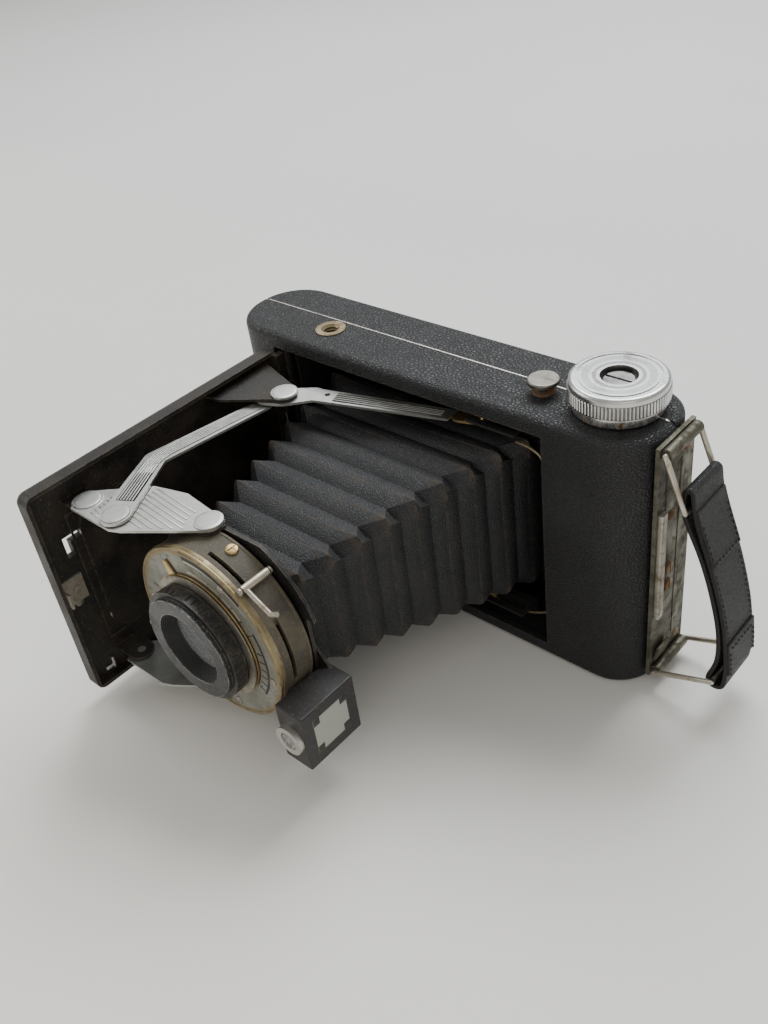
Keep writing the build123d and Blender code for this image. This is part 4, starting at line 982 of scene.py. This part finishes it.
# %% Rivet caps and collars
cap_profile = ((0, 0.13), (3.0, 0.13), (3.55, 0.1), (3.85, 0.02), (3.95, -0.1), (0, -0.1))
collar_profile = ((4.15, -0.05), (4.15, 0.08), (4.3, 0.15), (4.48, 0.08), (4.5, -0.05), (4.15, -0.05))
rivets = (("brace", "braces", (-37.1, -30.4), 76.8, None), ("link", "links", (-35.8, -96.8), 73.9,
                                                            73.5),
          ("plate_bed", "plates", (-49.6, -96.4), 72.8, 72.4), ("plate_front", "plates", (-12.4, -83.7), 72.8, None))
for name, body, (x, y), z_cap, z_collar in rivets:
    made = [turned(cap_profile, (x, y, z_cap), (0, 0, 1))]
    if z_collar:
        made.append(turned(collar_profile, (x, y, z_collar), (0, 0, 1)))
    join_all(made)
    rivet = settle(f"{name}_rivet_upper", body, strut_nickel, 25)
    lower_twin(rivet, f"{name}_rivet_lower", body)

# %% [markdown]
# ## Face of the shutter
# The scale plate has crescents, a long engraved arc and short tick marks, but no lettering.
# The marks could be painted on with a texture, yet they catch light at their edges, so each
# is a thin strip: a short line on the face is spun round the lens through its own angle.

# %% Arcs on the face
lens_x, lens_z = -9.0, 42.5
face_y = -95.0


def arc_strip(r0, r1, a0, a1, y, thick, steps):
    """Flat strip round the lens axis; angles in degrees, counted from the handle side."""
    start = radians(a0)
    centre = Vector((lens_x, y, lens_z)) * MM
    out = Vector((cos(start), 0, sin(start)))
    start_fresh()
    bpy.ops.mesh.primitive_plane_add(size=MM, location=centre + out * r0 * MM)
    shape_it()
    bpy.ops.mesh.merge(type="CENTER")
    bpy.ops.mesh.extrude_region_move(TRANSFORM_OT_translate={"value": out * (r1 - r0) * MM})
    bpy.ops.mesh.select_all(action="SELECT")
    bpy.ops.mesh.spin(steps=steps, angle=radians(a1 - a0), center=centre, axis=(0, -1, 0))
    tidy_mesh()
    finish_with("SOLIDIFY", thickness=thick * MM, offset=0.0)
    finish_with("BEVEL", width=0.03 * MM, segments=1, limit_method="ANGLE", angle_limit=radians(50))
    return bpy.context.object


engraved, tree, shader, place = new_finish("engraved_black", (0.006, 0.006, 0.006), 0.0, 0.5)
plug(tree, blend_colour(tree, noise(tree, place, 700.0), (0.004, 0.004, 0.004), (0.035, 0.028, 0.018)), shader.inputs["Base Color"])
raise_by(tree, shader, noise(tree, place, 2200.0), 0.00002, 0.5)

marks = [arc_strip(24.9, 26.0, 97, 147, face_y, 0.16, 24), arc_strip(24.9, 26.0, -88, -40, face_y,
                                                                     0.16, 24),
         arc_strip(22.4, 23.2, 27, 87, face_y, 0.12, 28), arc_strip(19.2, 19.7, 20, 70, face_y,
                                                                    0.1, 20)]
for a in (-30, -22, -14, -6, 2, 10):
    marks.append(arc_strip(20.2, 22.2, a, a + 1.2, face_y, 0.1, 1))
for a in (160, 171, 187, 212, 226, 240, 254):
    marks.append(arc_strip(21.0, 22.8, a, a + 1.2, face_y, 0.1, 1))
for a in (26, 38, 50, 62, 74):
    marks.append(arc_strip(19.9, 21.6, a, a + 1.0, face_y, 0.1, 1))
join_all(marks)
settle("face_marks", "standard", engraved, 25)

# %% [markdown]
# A brass rim is rolled over the edge of the case, and its wear is what catches the eye. It
# is turned like the rivets. The end stops on the face are small bars at the pointer's slot.

# %% Rim, stops and screws of the shutter
rim_profile = ((27.0, 0.02), (26.75, 0.1), (27.0, 0.2), (27.35, 0.2), (27.6, 0.08), (27.68, -0.15),
               (27.0, -0.15), (27.0, 0.02))
turned(rim_profile, (lens_x, face_y, lens_z), (0, -1, 0), 96)
settle("face_rim", "standard", old_brass, 30)
band_profile = ((27.68, 0), (27.82, 0.1), (27.86, 0.6), (27.82, 1.1), (27.68, 1.2), (27.68, 0))
turned(band_profile, (lens_x, -94.2, lens_z), (0, 1, 0), 96)
settle("case_band", "standard", old_brass, 30)
band_profile = ((27.66, 0), (27.95, 0.15), (27.95, 0.75), (27.66, 0.9), (27.66, 0))
turned(band_profile, (lens_x, -84.3, lens_z), (0, 1, 0), 96)
settle("case_bead", "standard", case_paint, 30)

slot_parts = [arc_strip(24.1, 24.6, 96, 153, face_y, 0.14, 26), arc_strip(20.6, 21.1, 96, 153, face_y, 0.14, 26)]
join_all(slot_parts)
settle("pointer_slot_lips", "standard", nickel, 30)

head_profile = ((0, 0.9), (1.0, 0.88), (1.55, 0.7), (1.8, 0.35), (1.85, -0.4), (0, -0.4))
screw_axis = (cos(radians(74)), 0, sin(radians(74)))
screw_base = (lens_x + 27.75 * cos(radians(74)), -86.2, lens_z + 27.75 * sin(radians(74)))
top = Vector(screw_base) + Vector(screw_axis) * 0.95
slotted(turned(head_profile, screw_base, screw_axis, 28), top, screw_axis, (0, 1, 0), 0.4, 0.5, 5)
settle("case_screw", "standard", brass, 30)
small_profile = ((0, 0.42), (0.8, 0.4), (1.15, 0.22), (1.2, -0.2), (0, -0.2))
for n, a in enumerate((-12, 62, 176, 282)):
    base = (lens_x + 24.0 * cos(radians(a)) if n else lens_x + 24.4 * cos(radians(a)), face_y,
            lens_z + 24.0 * sin(radians(a)))
    slotted(turned(small_profile, base, (0, -1, 0), 20), (base[0], face_y - 0.45, base[2]), (0, -1, 0),
            (cos(radians(a * 3)), 0, sin(radians(a * 3))), 0.2, 0.3, 3)
    settle(f"face_screw_{n + 1}", "standard", old_nickel, 30)

# %% [markdown]
# ## Knob
# The knurl is a ring of fine ridges under the rolled top edge. A gear-like outline could be
# extruded, but each real ridge is a small rounded rib, so one rib is bevelled and copied.

# %% Knurl of the knob
knob_x, knob_y = 59.4, 1.2
start_fresh()
bpy.ops.mesh.primitive_cube_add(size=1, location=((knob_x + 13.05) * MM, knob_y * MM, 90.3 * MM),
                                scale=(0.7 * MM, 0.62 * MM, 3.7 * MM))
shape_it()
bpy.ops.object.mode_set(mode="OBJECT")
finish_with("BEVEL", width=0.2 * MM, segments=1, limit_method="ANGLE", angle_limit=radians(50))
first_rib = bpy.context.object
knurl = [first_rib]
for k in range(1, 84):
    start_fresh()
    first_rib.select_set(True)
    bpy.context.view_layer.objects.active = first_rib
    bpy.ops.object.duplicate()
    bpy.ops.object.mode_set(mode="EDIT")
    bpy.ops.mesh.select_all(action="SELECT")
    bpy.ops.transform.rotate(value=2 * pi * k / 84, orient_axis="Z", center_override=(knob_x * MM, knob_y * MM, 0))
    bpy.ops.object.mode_set(mode="OBJECT")
    knurl.append(bpy.context.object)
join_all(knurl)
settle("knob_knurl", "winder", knob_finish, 30)

# %% [markdown]
# ## Small fittings of the bed
# The floor of the bed has an embossed ring, two rivets and the bright edge of the liner, and
# the sides carry small spring catches. Each is turned or bevelled from a box at its place.

# %% Bed fittings
bed_floor = -57.8
ring = ((2.5, -0.1), (2.6, 0.18), (2.95, 0.32), (3.3, 0.18), (3.4, -0.1), (2.5, -0.1))
turned(ring, (bed_floor, -89.5, 24.2), (1, 0, 0), 36)
settle("bed_ring", "bed", bed_paint, 30)
rivet_head = ((0, 0.5), (0.9, 0.45), (1.4, 0.2), (1.5, -0.1), (0, -0.1))
heads = [turned(rivet_head, (bed_floor, y, z), (1, 0, 0), 24) for y, z in ((-96.9, 26.2), (-106.0, 37.5), (-96.9, 58.8))]
join_all(heads)
settle("bed_rivets", "bed", old_nickel, 30)


def bevelled_box(x0, x1, y0, y1, z0, z1, width=0.2):
    start_fresh()
    bpy.ops.mesh.primitive_cube_add(size=1, location=((x0 + x1) / 2 * MM, (y0 + y1) / 2 * MM,
                                                      (z0 + z1) / 2 * MM),
                                    scale=((x1 - x0) * MM, (y1 - y0) * MM, (z1 - z0) * MM))
    shape_it()
    bpy.ops.object.mode_set(mode="OBJECT")
    finish_with("BEVEL", width=width * MM, segments=2, limit_method="ANGLE",
                angle_limit=radians(40))
    return bpy.context.object


join_all([bevelled_box(bed_floor - 0.1, bed_floor + 0.3, -100.9, -100.1, 19.0, 66.0, 0.1),
          bevelled_box(bed_floor - 0.1, bed_floor + 0.3, -100.9, -82.0, 18.2, 19.0, 0.1),
          bevelled_box(bed_floor - 0.1, bed_floor + 0.3, -100.9, -82.0, 66.0, 66.8, 0.1)])
settle("bed_liner_edge", "bed", bed_paint, 30)
catches = [bevelled_box(-57.9, -56.9, -106.2, -103.2, 8.4, 10.0, 0.25), bevelled_box(-57.9, -56.4, -103.8, -102.9, 8.4, 12.6, 0.25)]
join_all(catches)
settle("bed_spring_tab", "bed", nickel, 30)

# %% [markdown]
# ## Fittings of the opening
# A nickel catch is let into the right wall of the opening and a thin wire spring lies low in
# it. The wire is a curve with a round section, turned into a mesh when it has its shape.

# %% Wall catch and spring wire
oval = ((0, 0.55), (0.8, 0.5), (1.3, 0.3), (1.5, -0.1), (0, -0.1))
turned(oval, (46.0, -13.2, 45.5), (-1, 0, 0), 28)
bpy.ops.object.mode_set(mode="EDIT")
bpy.ops.mesh.select_all(action="SELECT")
bpy.ops.transform.resize(value=(1, 0.8, 3.0), center_override=(46.0 * MM, -13.2 * MM, 45.5 * MM))
bpy.ops.object.mode_set(mode="OBJECT")
settle("wall_catch", "camera_body", nickel, 30)


def bent_wire(points, radius, name, body, finish):
    start_fresh()
    bpy.ops.curve.primitive_bezier_curve_add(enter_editmode=True)
    bpy.ops.curve.select_all(action="SELECT")
    bpy.ops.curve.delete(type="VERT")
    for p in points:
        bpy.ops.curve.vertex_add(location=Vector(p) * MM)
    bpy.ops.curve.select_all(action="SELECT")
    bpy.ops.curve.handle_type_set(type="AUTOMATIC")
    bpy.ops.object.mode_set(mode="OBJECT")
    ob = bpy.context.object
    ob.data.bevel_depth = radius * MM
    ob.data.bevel_resolution = 3
    ob.data.resolution_u = 10
    ob.data.use_fill_caps = True
    bpy.ops.object.convert(target="MESH")
    tidy_mesh()
    return settle(name, body, finish, 50)


bent_wire(((18.0, -9.0, 9.6), (24.0, -10.6, 8.0), (31.0, -11.4, 7.8), (38.0, -10.4, 9.0), (44.6, -9.0, 11.6)), 0.42,
          "opening_spring", "camera_body", old_brass)
bent_wire(((36.6, -13.4, 74.0), (42.0, -13.6, 73.4), (44.6, -13.4, 71.6), (45.2, -13.2, 66.0)), 0.4,
          "opening_wire", "camera_body", old_brass)

# %% [markdown]
# ## Finder window
# The window of the finder is masked to a cross shape for upright and sideways pictures. Four
# small corner plates over the ground glass make the mask.

# %% Finder mask and tripod bush thread
fy0, fy1, fz0, fz1, fx1 = -99.0, -79.4, 15.2, 34.7, 28.5
corners_made = []
for y_side in (0, 1):
    for z_side in (0, 1):
        y_a = fy0 + 3.7 if y_side == 0 else fy1 - 3.7 - 2.3
        z_a = fz0 + 3.7 if z_side == 0 else fz1 - 3.7 - 2.3
        corners_made.append(bevelled_box(fx1 - 0.3, fx1 - 0.04, y_a, y_a + 2.3, z_a, z_a + 2.3,
                                         0.05))
join_all(corners_made)
settle("finder_mask", "finder", smooth_black, 30)
threads = []
for k in range(5):
    z = 84.6 - 1.1 * k
    ring = ((2.62, z + 0.4), (2.25, z), (2.62, z - 0.4), (2.62, z + 0.4))
    threads.append(turned(ring, (-40.2, -4.6, 0.0), (0, 0, 1), 36))
join_all(threads)
settle("bush_thread", "camera_body", old_brass, 30)

# %% [markdown]
# ## End plate
# The tarnished plate at the end has a folded tab low down, a raised spine and two rivets. The
# tab is a bevelled box whose free end is drawn out in edit mode, so that it looks folded.

# %% End plate fittings
plate_out = 77.4
spine = [bevelled_box(plate_out - 0.2, plate_out + 0.22, 2.4, 3.3, 12.0, 74.0, 0.12),
         bevelled_box(plate_out - 0.2, plate_out + 0.16, -4.9, -4.3, 24.0, 74.0, 0.08)]
join_all(spine)
settle("end_plate_beads", "camera_body", tarnished, 30)
tab = bevelled_box(plate_out - 0.1, plate_out + 0.9, -7.6, -1.2, 8.4, 13.0, 0.3)
start_fresh()
tab.select_set(True)
bpy.context.view_layer.objects.active = tab
bpy.ops.object.mode_set(mode="EDIT")
bpy.ops.mesh.select_all(action="DESELECT")
bpy.ops.object.mode_set(mode="OBJECT")
for v in tab.data.vertices:
    if v.co.z > 12.5 * MM:
        v.co.x += 1.0 * MM
        v.co.z += 0.6 * MM
settle("end_plate_tab", "camera_body", tarnished, 30)
pins = [turned(((0, 0.55), (0.9, 0.5), (1.5, 0.25), (1.7, -0.1), (0, -0.1)), (plate_out, y, z), (1, 0, 0), 24)
        for y, z in ((5.6, 76.5), (5.6, 9.5), (-1.0, 58.0))]
join_all(pins)
settle("end_plate_rivets", "camera_body", rusty_steel, 30)
